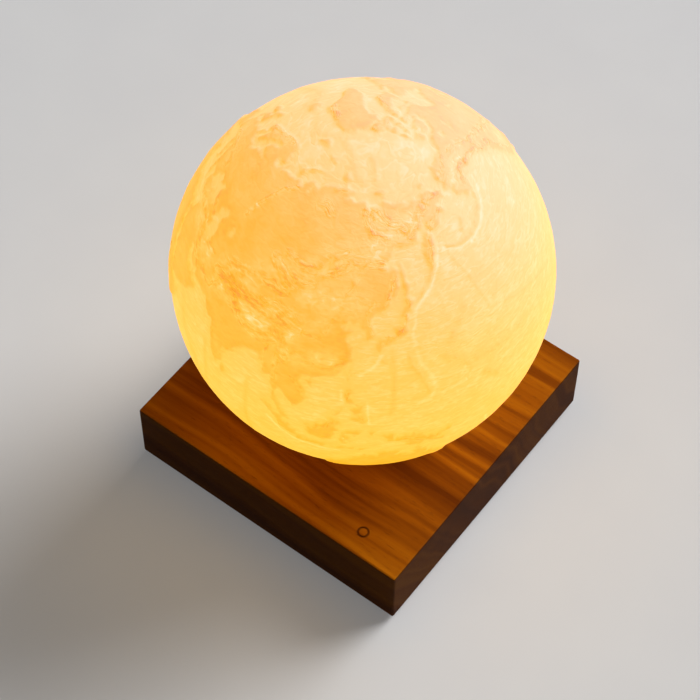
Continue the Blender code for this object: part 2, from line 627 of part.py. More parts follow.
def control_board():
    """Board under the coils, screwed up against the step in the block."""
    board = block(
        "control_board", (BOARD_HALF * 2, BOARD_HALF * 2, BOARD_THICKNESS), (0, 0, BOARD_BOTTOM),
        BOARD_GREEN, corner=BOARD_HALF * 2 - BOARD_CORNER_SUM)
    for number, centre in enumerate(corners(BOARD_SCREW_AT), 1):
        pilot_hole(board, f"board_hole_{number}", centre, SCREW_RADIUS, BOARD_BOTTOM, BOARD_TOP + OVERRUN)
        screw(
            f"board_screw_{number}", centre, SCREW_RADIUS, SCREW_HEAD_RADIUS, SCREW_HEAD_HEIGHT,
            SCREW_LENGTH, BOARD_HEAD_BOTTOM)


def lifting_magnet():
    """Ring magnet in its tray."""
    tray_top = BOARD_SEAT + TRAY_HEIGHT
    floor_top = BOARD_SEAT + TRAY_FLOOR
    turned(
        "magnet_tray",
        ((TRAY_OUTER, tray_top), (TRAY_OUTER, BOARD_SEAT), (TRAY_INNER, BOARD_SEAT), (TRAY_INNER, tray_top),
         (TRAY_INNER + TRAY_WALL, tray_top), (TRAY_INNER + TRAY_WALL, floor_top),
         (TRAY_OUTER - TRAY_WALL, floor_top), (TRAY_OUTER - TRAY_WALL, tray_top)),
        BLACK_PLASTIC, sides=LARGE_SIDES)
    ring("ring_magnet", RING_INNER, RING_OUTER, floor_top + CLEARANCE, BOBBIN_TOP, NICKEL, sides=LARGE_SIDES)


def steering_coils():
    """Four bobbins with their windings and iron cores."""
    hub = CORE_RADIUS + CLEARANCE + BOBBIN_HUB_WALL
    bore = CORE_RADIUS + CLEARANCE
    low, high = BOBBIN_BOTTOM + BOBBIN_FLANGE, BOBBIN_TOP - BOBBIN_FLANGE
    for number, (x, y, turn) in enumerate(around(COIL_ORBIT, 4), 1):
        turned(
            f"coil_bobbin_{number}",
            ((COIL_RADIUS, BOBBIN_TOP), (COIL_RADIUS, high), (hub, high), (hub, low), (COIL_RADIUS, low),
             (COIL_RADIUS, BOBBIN_BOTTOM), (bore, BOBBIN_BOTTOM), (bore, BOBBIN_TOP)),
            WHITE_PLASTIC, centre=(x, y), sides=MEDIUM_SIDES)
        ring(
            f"coil_winding_{number}", hub + CLEARANCE, COIL_RADIUS - WINDING_INSET, low + CLEARANCE,
            high - CLEARANCE, COPPER, centre=(x, y), sides=MEDIUM_SIDES)
        cylinder(
            f"coil_core_{number}", CORE_RADIUS, BOBBIN_BOTTOM, BOBBIN_TOP, FERRITE, centre=(x, y),
            sides=SMALL_SIDES)


def transmitter():
    """Flat power coil under the block's roof, on a spacer that rests on the four bobbins."""
    ring(
        "coil_spacer", COIL_ORBIT - COIL_RADIUS, COIL_SPACE + SPACER_OVERLAP - COIL_TRAY_GAP,
        SPACER_BOTTOM, SPACER_TOP, WHITE_PLASTIC, sides=LARGE_SIDES)
    ring(
        "transmitter_coil", TRANSMITTER_INNER_RADIUS, TRANSMITTER_OUTER_RADIUS, TRANSMITTER_BOTTOM,
        TRANSMITTER_TOP, COPPER, sides=LARGE_SIDES)


def hall_sensors():
    """Three magnetic sensors on their legs, between the coils."""
    body_bottom = BOARD_SEAT + HALL_LEG_LENGTH
    leg_size = (HALL_LEG_WIDTH, HALL_LEG_WIDTH, HALL_LEG_LENGTH + HALL_BODY[2] / 2)
    for axis, (x, y, turn) in zip("xyz", around(HALL_ORBIT, 3, REAR)):
        name = f"hall_sensor_{axis}"
        across = turn + 90
        body = block(name, HALL_BODY, (x, y, body_bottom), CHIP_BLACK, turn=across)
        for number, step in enumerate(HALL_LEG_STEPS, 1):
            shift = step * HALL_LEG_PITCH
            place = (x + shift * cos(radians(across)), y + shift * sin(radians(across)), BOARD_SEAT)
            join(body, block(f"{name}_leg_{number}", leg_size, place, group=CUTTERS, turn=across))


def board_parts():
    """What else stands on the control board or hangs under it."""
    part_orbit = COIL_SPACE - CAPACITOR_RADIUS
    places = around(part_orbit, 4, DIAGONAL)
    groove = BOARD_SEAT + CAPACITOR_RADIUS / 3
    for number, (x, y, turn) in enumerate(places[:2], 1):
        turned(
            f"capacitor_{number}",
            ((0, CAPACITOR_TOP), (CAPACITOR_RADIUS - CAPACITOR_EDGE, CAPACITOR_TOP),
             (CAPACITOR_RADIUS, CAPACITOR_TOP - CAPACITOR_EDGE),
             (CAPACITOR_RADIUS, groove + CAPACITOR_GROOVE), (CAPACITOR_RADIUS - CAPACITOR_GROOVE, groove),
             (CAPACITOR_RADIUS, groove - CAPACITOR_GROOVE), (CAPACITOR_RADIUS, BOARD_SEAT),
             (0, BOARD_SEAT)),
            CAN_BLUE, centre=(x, y), sides=SMALL_SIDES)
    x, y, turn = places[2]
    under_flange = INDUCTOR_TOP - INDUCTOR_FLANGE
    over_flange = BOARD_SEAT + INDUCTOR_FLANGE
    turned(
        "inductor",
        ((0, INDUCTOR_TOP), (CAPACITOR_RADIUS, INDUCTOR_TOP), (CAPACITOR_RADIUS, under_flange),
         (INDUCTOR_WAIST, under_flange), (INDUCTOR_WAIST, over_flange), (CAPACITOR_RADIUS, over_flange),
         (CAPACITOR_RADIUS, BOARD_SEAT), (0, BOARD_SEAT)),
        FERRITE, centre=(x, y), sides=SMALL_SIDES)
    x, y, turn = places[3]
    film_size = (FILM_CAPACITOR_WIDTH, FILM_CAPACITOR_THICKNESS, FILM_CAPACITOR_TOP - BOARD_SEAT)
    block("film_capacitor", film_size, (x, y, BOARD_SEAT), FILM_RED, turn=turn + 90)
    for name, size, place in (
            ("microcontroller", MICROCONTROLLER_SIZE, MICROCONTROLLER_PLACE),
            ("coil_driver", COIL_DRIVER_SIZE, COIL_DRIVER_PLACE)):
        bottom = BOARD_BOTTOM - CLEARANCE - size[2]
        chip = block(name, size, (*place, bottom), CHIP_BLACK)
        legs = (size[0] + CHIP_LEG_WIDTH * 2, size[1] - CHIP_LEG_WIDTH * 2, size[2] / 3)
        join(chip, block(name + "_legs", legs, (*place, BOARD_BOTTOM - CLEARANCE - legs[2]), group=CUTTERS))


def power_inlet():
    """Round socket with a centre pin, held in the rear wall by a nut inside, with two solder tabs."""
    mouth = HALF_SIDE - JACK_RECESS
    back = POCKET_HALF - JACK_INSIDE_LENGTH
    bore_end = mouth - JACK_BORE_DEPTH
    nut_front = POCKET_HALF - CLEARANCE
    jack = turned(
        "dc_jack",
        ((0, -back), (JACK_RADIUS, -back), (JACK_RADIUS, -mouth), (JACK_BORE_RADIUS, -mouth),
         (JACK_BORE_RADIUS, -bore_end), (JACK_PIN_RADIUS, -bore_end),
         (JACK_PIN_RADIUS, JACK_PIN_RECESS - mouth), (0, JACK_PIN_RECESS - mouth)),
        BLACK_PLASTIC)
    lay_back(jack, 0)
    nut = cylinder("jack_nut", JACK_NUT_RADIUS, 0, JACK_NUT_THICKNESS, group=CUTTERS, sides=NUT_SIDES)
    lay_back(nut, nut_front - JACK_NUT_THICKNESS / 2)
    join(jack, nut)
    tab_y = back + JACK_TAB_THICKNESS
    tab_bottom = WIRE_RUN + WIRE_DROP
    tab_size = (JACK_TAB_WIDTH, JACK_TAB_THICKNESS, JACK_HEIGHT - JACK_RADIUS / 2 - tab_bottom)
    board_y = BOARD_HALF - WIRE_TO_BOARD_EDGE
    for side, number, colour in ((-1, 1, WIRE_BLACK), (1, 2, WIRE_RED)):
        x = side * JACK_TAB_PITCH / 2
        join(jack, block(f"jack_tab_{number}", tab_size, (x, tab_y, tab_bottom), group=CUTTERS))
        route = (
            (x, tab_y, tab_bottom - CLEARANCE), (x, tab_y, WIRE_RUN), (x, board_y, WIRE_RUN),
            (x, board_y, BOARD_BOTTOM - CLEARANCE))
        tube(f"jack_wire_{number}", rounded(route, WIRE_BEND), WIRE_RADIUS, colour)


def lay_back(thing, y):
    """Turn an upright form so that its top points to the front, at the power inlet's height."""
    thing.rotation_euler.x = radians(90)
    thing.location = (0, y, JACK_HEIGHT)


def touch_switch():
    """Copper pad in its bore under the engraved ring, and the wire from it to the board."""
    x, y = MARK_PLACE
    pad_top = TOUCH_BORE_TOP - CLEARANCE
    pad_bottom = pad_top - TOUCH_PAD_THICKNESS
    cylinder(
        "touch_pad", TOUCH_BORE_RADIUS - CLEARANCE, pad_bottom, pad_top, COPPER, centre=MARK_PLACE,
        sides=SMALL_SIDES)
    run = REBATE_ROOF + TOUCH_CHANNEL_DEPTH / 2
    across = TOUCH_WIRE_REACH / sqrt(2)
    route = (
        (x, y, pad_bottom - CLEARANCE), (x, y, run), (x - across, y + across, run),
        (x - across, y + across, BOARD_BOTTOM - CLEARANCE))
    tube("touch_wire", rounded(route, WIRE_BEND), WIRE_RADIUS, WIRE_RED)


def arc_distances(points, line):
    """Distance, in degrees, from each point on a unit ball to the nearest stretch of a line on it."""
    starts, ends = line[:-1], line[1:]
    along = ends - starts
    offsets = points[:, None] - starts
    share = (offsets * along).sum(2) / (along ** 2).sum(1)
    nearest = starts + np.clip(share, 0, 1)[..., None] * along
    return np.degrees(np.linalg.norm(points[:, None] - nearest, axis=2).min(1))


def on_ball(places):
    """Points on a unit ball from (longitude, latitude) in degrees."""
    longitude, latitude = np.radians(np.array(places, float)).T
    east = longitude + radians(PRIME_MERIDIAN)
    level = np.cos(latitude)
    return np.stack((level * np.cos(east), level * np.sin(east), np.sin(latitude)), axis=1)


def inside(longitude, latitude, outline):
    """Which places lie inside an outline on the map, whose longitudes may run past 180 degrees."""
    found = np.zeros(len(longitude), bool)
    for whole_turn in (-360, 0, 360):
        east = longitude + whole_turn
        for (x1, y1), (x2, y2) in zip(outline, outline[1:] + outline[:1]):
            if y1 != y2:
                crossing = x1 + (latitude - y1) * (x2 - x1) / (y2 - y1)
                found ^= ((y1 > latitude) != (y2 > latitude)) & (east < crossing)
    return found


def depth_inside(points, longitude, latitude, outline):
    """Distance in from an outline in degrees, below zero outside it."""
    distance = arc_distances(points, on_ball(outline + outline[:1]))
    return np.where(inside(longitude, latitude, outline), distance, -distance)


def land_depth(points):
    """Distance inland from the coast, in degrees, at each point of a unit ball, below zero at sea."""
    latitude = np.degrees(np.arcsin(np.clip(points[:, 2], -1, 1)))
    longitude = np.degrees(np.arctan2(points[:, 1], points[:, 0])) - PRIME_MERIDIAN
    longitude = (longitude + 180) % 360 - 180
    land, seas = (
        np.max([depth_inside(points, longitude, latitude, outline) for outline in outlines.values()], axis=0)
        for outlines in (COASTS, INLAND_SEAS))
    return np.minimum(land, -seas)


def relief(points):
    """Height of the land above the sea at each point of a unit ball."""
    rise = np.clip(land_depth(points) / COAST_SLOPE + 0.5, 0, 1)
    rise = rise * rise * (3 - 2 * rise)
    belts = [
        np.exp(-(arc_distances(points, on_ball(crest)) / width) ** 2) for crest, width in RANGES.values()]
    return rise * (LAND_RISE + RANGE_RISE * np.max(belts, axis=0))


def split_edges(shape, edges, cuts, **settings):
    """Split edges of a unit ball into facets with three corners, and return its corners' directions."""
    bmesh.ops.subdivide_edges(shape, edges=edges, cuts=cuts, **settings)
    bmesh.ops.triangulate(shape, faces=shape.faces[:])
    shape.verts.index_update()
    return np.array([vertex.co.normalized() for vertex in shape.verts])


def globe_shell():
    """Printed globe: a ball with raised land, thin-walled, with a ledge round its bottom opening."""
    shape = bmesh.new()
    bmesh.ops.create_icosphere(shape, subdivisions=1, radius=1)
    points = split_edges(shape, shape.edges[:], GLOBE_SPLITS - 1, use_grid_fill=True)
    depth = land_depth(points)
    coastal = [
        edge for edge in shape.edges
        if min(depth[corner.index] for corner in edge.verts) < COAST_SLOPE / 2
        and max(depth[corner.index] for corner in edge.verts) > -COAST_SLOPE / 2]
    points = split_edges(shape, coastal, 1)
    radii = GLOBE_SEA_RADIUS + relief(points)
    for vertex, point in zip(shape.verts, points * radii[:, None]):
        vertex.co = point
    data = bpy.data.meshes.new("globe_shell")
    shape.to_mesh(data)
    shape.free()
    smooth(data, angle=60)
    shell = put("globe_shell", data, PRINTED, PARTS, (0, 0, GLOBE_CENTRE))
    width = GLOBE_SEA_RADIUS * 2
    below = block("flat_cut", (width, width, width), (0, 0, FLAT_HEIGHT - width), group=CUTTERS)
    inner = GLOBE_SEA_RADIUS - GLOBE_WALL
    ledge_angle = pi - acos((GLOBE_CENTRE - LEDGE_TOP) / inner)
    arc = [
        (inner * sin(ledge_angle * i / CAVITY_ARC_STEPS),
         GLOBE_CENTRE + inner * cos(ledge_angle * i / CAVITY_ARC_STEPS))
        for i in range(CAVITY_ARC_STEPS + 1)]
    cavity = turned(
        "globe_cavity",
        (*arc, (LEDGE_INNER_RADIUS, LEDGE_TOP), (LEDGE_INNER_RADIUS, LEDGE_BOTTOM),
         (CAP_SEAT_RADIUS, LEDGE_BOTTOM), (CAP_SEAT_RADIUS, FLAT_HEIGHT - OVERRUN),
         (0, FLAT_HEIGHT - OVERRUN)),
        group=CUTTERS, sides=LARGE_SIDES)
    cut(shell, below, cavity)
    for number, (x, y, turn) in enumerate(cap_screw_places(), 1):
        pilot_hole(
            shell, f"cap_pilot_{number}", (x, y), CAP_SCREW_RADIUS, LEDGE_BOTTOM, CAP_SCREW_TOP + CLEARANCE)
    return [shell]


def cap_screw_places():
    return around(CAP_SCREW_AT, 3, CAP_SCREWS_FIRST)


def globe_cap():
    """Round cap with the cup that holds the floating magnet and the light board over it."""
    cap = turned(
        "globe_cap",
        ((0, CAP_TOP), (CUP_INNER, CAP_TOP), (CUP_INNER, CUP_TOP), (CUP_OUTER, CUP_TOP), (CUP_OUTER, CAP_TOP),
         (CAP_RADIUS, CAP_TOP), (CAP_RADIUS, FLAT_HEIGHT + CAP_EDGE), (CAP_RADIUS - CAP_EDGE, FLAT_HEIGHT),
         (0, FLAT_HEIGHT)),
        BLACK_PLASTIC, sides=LARGE_SIDES)
    catch_length = CATCH_REACH + CUP_WALL / 2
    catch_orbit = CUP_INNER + CUP_WALL / 2 - catch_length / 2
    for number, (x, y, turn) in enumerate(around(catch_orbit, 3, CATCHES_FIRST), 1):
        size = (catch_length, CATCH_WIDTH, CATCH_HEIGHT)
        join(cap, block(f"board_catch_{number}", size, (x, y, ON_LED_BOARD), group=CUTTERS, turn=turn))
    pieces = [cap]
    for number, (x, y, turn) in enumerate(cap_screw_places(), 1):
        screw_hole(
            cap, f"cap_hole_{number}", (x, y), CAP_SCREW_RADIUS, CAP_SCREW_HEAD_RADIUS,
            CAP_HEAD_BOTTOM + CAP_SCREW_HEAD_HEIGHT + CLEARANCE, FLAT_HEIGHT, CAP_TOP + OVERRUN)
        pieces.append(screw(
            f"cap_screw_{number}", (x, y), CAP_SCREW_RADIUS, CAP_SCREW_HEAD_RADIUS, CAP_SCREW_HEAD_HEIGHT,
            CAP_SCREW_LENGTH, CAP_HEAD_BOTTOM))
    pieces.append(ring(
        "receiver_coil", RECEIVER_INNER, RECEIVER_OUTER, LEDGE_BOTTOM, LEDGE_BOTTOM + RECEIVER_HEIGHT, COPPER,
        sides=LARGE_SIDES))
    return pieces


def light_board():
    """Board over the magnet with four lights, their rectifier and capacitor, and the coil's lead."""
    pieces = [cylinder(
        "led_board", MAGNET_RADIUS, LED_BOARD_BOTTOM, LED_BOARD_TOP, WHITE_PLASTIC, sides=LARGE_SIDES)]
    dome_bottom = ON_LED_BOARD + LED_HEIGHT / 2
    dome_top = ON_LED_BOARD + LED_HEIGHT + LED_DOME_RISE
    for number, (x, y, turn) in enumerate(around(LED_ORBIT, 4, DIAGONAL), 1):
        led = block(
            f"led_{number}", (LED_SIDE, LED_SIDE, LED_HEIGHT), (x, y, ON_LED_BOARD), LED_YELLOW, turn=turn)
        dome = turned(
            f"led_dome_{number}",
            ((0, dome_top), (LED_DOME_RADIUS * sin(pi / 4), dome_top - LED_DOME_RISE * (1 - cos(pi / 4))),
             (LED_DOME_RADIUS, dome_top - LED_DOME_RISE), (LED_DOME_RADIUS, dome_bottom), (0, dome_bottom)),
            group=CUTTERS, centre=(x, y), sides=SMALL_SIDES)
        join(led, dome)
        pieces.append(led)
    pieces.append(block("rectifier", RECTIFIER_SIZE, (0, RECTIFIER_ORBIT, ON_LED_BOARD), CHIP_BLACK))
    pieces.append(cylinder(
        "smoothing_capacitor", SMOOTHING_RADIUS, ON_LED_BOARD, ON_LED_BOARD + SMOOTHING_HEIGHT, CAN_BLUE,
        sides=SMALL_SIDES))
    coil_x = (RECEIVER_INNER + RECEIVER_OUTER) / 2
    board_x = MAGNET_RADIUS - LEAD_FROM_BOARD_EDGE
    over = CUP_TOP + CLEARANCE + LEAD_RADIUS * 2
    route = (
        (coil_x, 0, LEDGE_BOTTOM + RECEIVER_HEIGHT + CLEARANCE), (coil_x, 0, over), (board_x, 0, over),
        (board_x, 0, ON_LED_BOARD))
    pieces.append(tube("receiver_lead", rounded(route, LEAD_BEND), LEAD_RADIUS, WIRE_RED))
    return pieces


def float_magnet():
    """Disc magnet in the cap's cup."""
    top = MAGNET_TOP - MAGNET_EDGE
    return turned(
        "float_magnet",
        ((0, MAGNET_TOP), (MAGNET_RADIUS - MAGNET_EDGE, MAGNET_TOP), (MAGNET_RADIUS, top),
         (MAGNET_RADIUS, MAGNET_BOTTOM + MAGNET_EDGE), (MAGNET_RADIUS - MAGNET_EDGE, MAGNET_BOTTOM),
         (0, MAGNET_BOTTOM)),
        NICKEL, sides=LARGE_SIDES)


def carry(axis, pieces):
    """Parent pieces to an empty on their joint's axis, where they are."""
    for piece in pieces:
        piece.parent = axis
        piece.matrix_parent_inverse = Matrix.Translation(axis.location).inverted()


def joint_axis(name):
    axis = bpy.data.objects.new(name, None)
    axis.location = (0, 0, FLAT_HEIGHT)
    axis.empty_display_size = FLAT_RADIUS
    PARTS.objects.link(axis)
    return axis


wooden_base()
bottom_cover()
control_board()
lifting_magnet()
steering_coils()
transmitter()
hall_sensors()
board_parts()
power_inlet()
touch_switch()
carry(joint_axis("globe_lift_axis"), [float_magnet()])
carry(joint_axis("globe_spin_axis"), globe_shell() + globe_cap() + light_board())
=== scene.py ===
"""Looks of the levitating lamp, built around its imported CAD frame.

Lengths are in metres, +Z is up, and the block's rear, with the power inlet, faces +Y.
"""

import json
from math import acos, atan2, cos, pi, radians, sin, sqrt

import bmesh
import bpy
import numpy as np
from mathutils import Matrix, Vector, noise
from mathutils.kdtree import KDTree

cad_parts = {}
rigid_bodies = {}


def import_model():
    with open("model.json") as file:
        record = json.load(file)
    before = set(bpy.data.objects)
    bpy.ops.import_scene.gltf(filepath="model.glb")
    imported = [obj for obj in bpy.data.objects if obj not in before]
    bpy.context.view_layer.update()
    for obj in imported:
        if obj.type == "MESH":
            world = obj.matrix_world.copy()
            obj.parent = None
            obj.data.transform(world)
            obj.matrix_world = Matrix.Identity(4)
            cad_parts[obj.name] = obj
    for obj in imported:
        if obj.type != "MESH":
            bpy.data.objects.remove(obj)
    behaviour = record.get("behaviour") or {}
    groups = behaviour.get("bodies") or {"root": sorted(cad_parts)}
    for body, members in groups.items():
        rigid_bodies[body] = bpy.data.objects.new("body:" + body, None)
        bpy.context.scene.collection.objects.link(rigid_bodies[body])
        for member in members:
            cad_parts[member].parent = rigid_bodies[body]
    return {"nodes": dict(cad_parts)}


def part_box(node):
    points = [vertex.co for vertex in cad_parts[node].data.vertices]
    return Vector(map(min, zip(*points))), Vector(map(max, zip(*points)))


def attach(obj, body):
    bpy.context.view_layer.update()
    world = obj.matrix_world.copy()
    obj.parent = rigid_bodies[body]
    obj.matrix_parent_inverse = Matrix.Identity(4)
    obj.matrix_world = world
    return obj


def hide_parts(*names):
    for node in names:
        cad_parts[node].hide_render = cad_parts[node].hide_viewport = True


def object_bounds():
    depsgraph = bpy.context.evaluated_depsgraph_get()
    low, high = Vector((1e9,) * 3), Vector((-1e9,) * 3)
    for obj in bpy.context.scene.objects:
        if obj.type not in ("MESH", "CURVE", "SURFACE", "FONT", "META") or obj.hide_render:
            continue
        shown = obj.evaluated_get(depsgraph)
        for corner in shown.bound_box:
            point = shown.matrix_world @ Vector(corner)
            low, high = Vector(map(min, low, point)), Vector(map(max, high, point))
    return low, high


# The block, with the ring burnt into it over the touch pad
WOOD_TOP = 0.033
MARK_CENTRE = (0.0423, -0.055, WOOD_TOP)
MARK_RADIUS = 0.0021
MARK_FADE = (0.0002, 0.0008)  # distances from its line at which it starts and ends to fade
RING_AXIS = (-0.115, -0.05)  # Y and Z of the centre of the wood's growth rings
RING_PITCH = 0.030
RING_BEND = 0.030  # how far waves bend the rings
# Two bands of the growth rings: a pale one near the front of the top, and a dark one farther back, under the
# globe, which is partly grain and partly painted shade under the globe
PALE_BAND, DARK_BAND = (0.105, 0.016), (0.135, 0.035)  # radius and half width
WAVE, CLOUD, STRAND, FIBRE, PORE = 0.045, 0.03, 0.0018, 0.00045, 0.00034

# The globe, as in the part's source
SEA_RADIUS = 0.0735
WALL = 0.002
FLAT_HEIGHT = 0.0465
FLAT_RADIUS = 0.0314
CENTRE_HEIGHT = FLAT_HEIGHT + sqrt(SEA_RADIUS ** 2 - FLAT_RADIUS ** 2)
SEAT_RADIUS = 0.0293
LEDGE_INNER_RADIUS = 0.0234
LEDGE_BOTTOM = 0.0492
LEDGE_TOP = 0.0545
PRIME_MERIDIAN = 181.2

# Noise in the globe's material: size of its lumps and folds
BLOTCH, WANDER, FOLD, SPECK, STREAK = 0.010, 0.005, 0.0046, 0.0022, 0.0014

# Relief of the globe
SUBDIVISIONS = 8  # of a 20-sided ball
LOWLAND_RISE = 0.00068
LOWLAND_SWELL = 0.00012
RANGE_RISE = 0.00055
RIDGE_SHARE = 0.55  # part of a range's height that its ridges and valleys take
RIDGE_SHARPNESS = 2.2
SEA_RIDGE_SHARE = 0.6
HILL_SHARE = 0.6  # rise of hills and ice as a share of a range's
SHELF_RISE = 0.00014
SEA_SWELL = 0.00008
SEA_LINE_RISE = 0.00035
COAST_WIDTH = 1.4  # of the rise from sea to land, in degrees
COAST_WANDER = 0.6  # how far small bays and capes reach, in degrees
SHELF_WIDTH = 1.5  # in degrees
SAMPLE_STEP = 0.15  # spacing of the points that stand for a coast, in degrees
BELT_STEP = 4.0  # longest straight piece of a belt's crest, in degrees
BELT_REACH = 3.0  # where a belt is cut off, in half widths from its crest
FAR = 90.0  # in degrees, out of every belt's reach
CAVITY_STEPS = 14
SHARP_EDGE = 30  # in degrees

# Noise over the ball: size of the lumps in degrees, octaves, and a number that sets its pattern
COAST_NOISE = (2.6, 4, 3)
RIDGE_NOISE = (3.4, 5, 9)
LOWLAND_NOISE = (9, 5, 1)
SEA_NOISE = (4, 5, 7)
NOISE_FADE, NOISE_STEP = 0.9, 2.0  # how much weaker and finer each octave is

# Numbers that the globe's mesh holds at each point for its material
FIELDS = ("coast", "belt", "hills", "across", "along", "sea_line")

# Holes for the cap's screws
PILOT_TURNS = (30, 150, 270)
PILOT_ORBIT = 0.026
PILOT_RADIUS = 0.0013
PILOT_TOP = 0.0534
PILOT_SIDES = 20

# Sizes in the looks of the pieces inside
WIRE_PITCH = 0.00045
WIRE_CLOUD = 0.002
TRACK_CELL, MASK_CLOUD = 0.0045, 0.006
SLEEVE_END = (0.0003, 0.0002)  # where it starts and ends to bare a can, below the can's top
SLEEVE_SPECKLE, PHOSPHOR_SPECKLE = 0.0008, 0.0004
PLASTIC_CLOUD = 0.012
METAL_MARK, METAL_STAIN = 0.00025, 0.004

# Colours of the walnut by its grain, and of what darkens it: open pores, the painted shade on the block's
# upright sides, and the burnt ring
WALNUT = ((0.34, (0.120, 0.026, 0.0008)), (0.44, (0.207, 0.051, 0.001)), (0.54, (0.325, 0.091, 0.002)),
          (0.66, (0.450, 0.146, 0.003)))
OPEN_PORE, PAINTED_SIDE_SHADE, BURNT = (0.06, 0.012, 0.001), (0.03, 0.008, 0.001), (0.03, 0.008, 0.002)

# Colours of the globe: its glow from thin to thick print, and, by height, a tint of the glow and the
# plastic's base colour, both holding painted light that makes the top paler and bluer and the bottom deeper
# orange
GLOW = ((0, (1, 0.81, 0.31)), (0.25, (0.98, 0.605, 0.078)), (0.6, (0.94, 0.49, 0.01)), (1, (0.90, 0.32, 0)))
PAINTED_LIGHT_TINT = ((0, (1, 0.87, 0.3)), (0.5, (1, 0.99, 0.75)), (0.8, (1, 0.97, 0.85)), (1, (1, 0.94, 1.4)))
BASE_WITH_PAINTED_LIGHT = ((0.2, (0.50, 0.22, 0.04)), (0.6, (0.52, 0.21, 0.155)), (1, (0.54, 0.20, 0.30)))

# Colours of the copper wire, from the painted shade in the grooves between turns to the crest of a turn
COPPER = ((0, (0.16, 0.045, 0.018)), (0.45, (0.62, 0.25, 0.10)), (1, (0.83, 0.40, 0.19)))

# Plastics and rubber: colour, roughness and, where it isn't the common one, the size of the grain
GRAIN = 0.0006
PLASTICS = {
    "black_plastic": ((0.022, 0.022, 0.024), 0.5),
    "white_plastic": ((0.74, 0.72, 0.67), 0.42),
    "rubber": ((0.016, 0.016, 0.017), 0.82, 0.001),
    "chip_black": ((0.018, 0.018, 0.019), 0.55, 0.0003),
    "film_capacitor_case": ((0.36, 0.05, 0.02), 0.3),
    "red_insulation": ((0.50, 0.02, 0.015), 0.38),
    "black_insulation": ((0.014, 0.014, 0.015), 0.4),
}

# Metals: colour and roughness
METALS = {
    "steel": ((0.56, 0.56, 0.58), 0.3),
    "nickel": ((0.78, 0.75, 0.70), 0.2),
    "iron": ((0.20, 0.20, 0.21), 0.55),
}

# Lamps of the studio: watts, size and place
LAMPS = {"key": (32.5, 2.7, (1.05, 3.15, 2.4)), "fill": (1.3, 3.6, (-1.8, -3.3, 2.7))}
LAMP_SPREAD = 60  # in degrees
AMBIENT_LEVEL = 0.06
BACKDROP_LEVEL = 0.85
FLOOR_GLOW, FAR_FLOOR_GLOW = 0.14, 0.68
FLOOR_FADE = (0.8, 4.0)  # where the floor starts and ends to fade into the backdrop
FLOOR_SIZE, FLOOR_CLOUD = 8.0, 0.05

# Camera of the photograph
CAMERA_AZIMUTH = 36.76
CAMERA_ELEVATION = 56.04
CAMERA_ROLL = 0.47
CAMERA_DISTANCE = 0.93743
CAMERA_TARGET = (-0.01417, 0.01092, WOOD_TOP)
CAMERA_LENS = 115.83
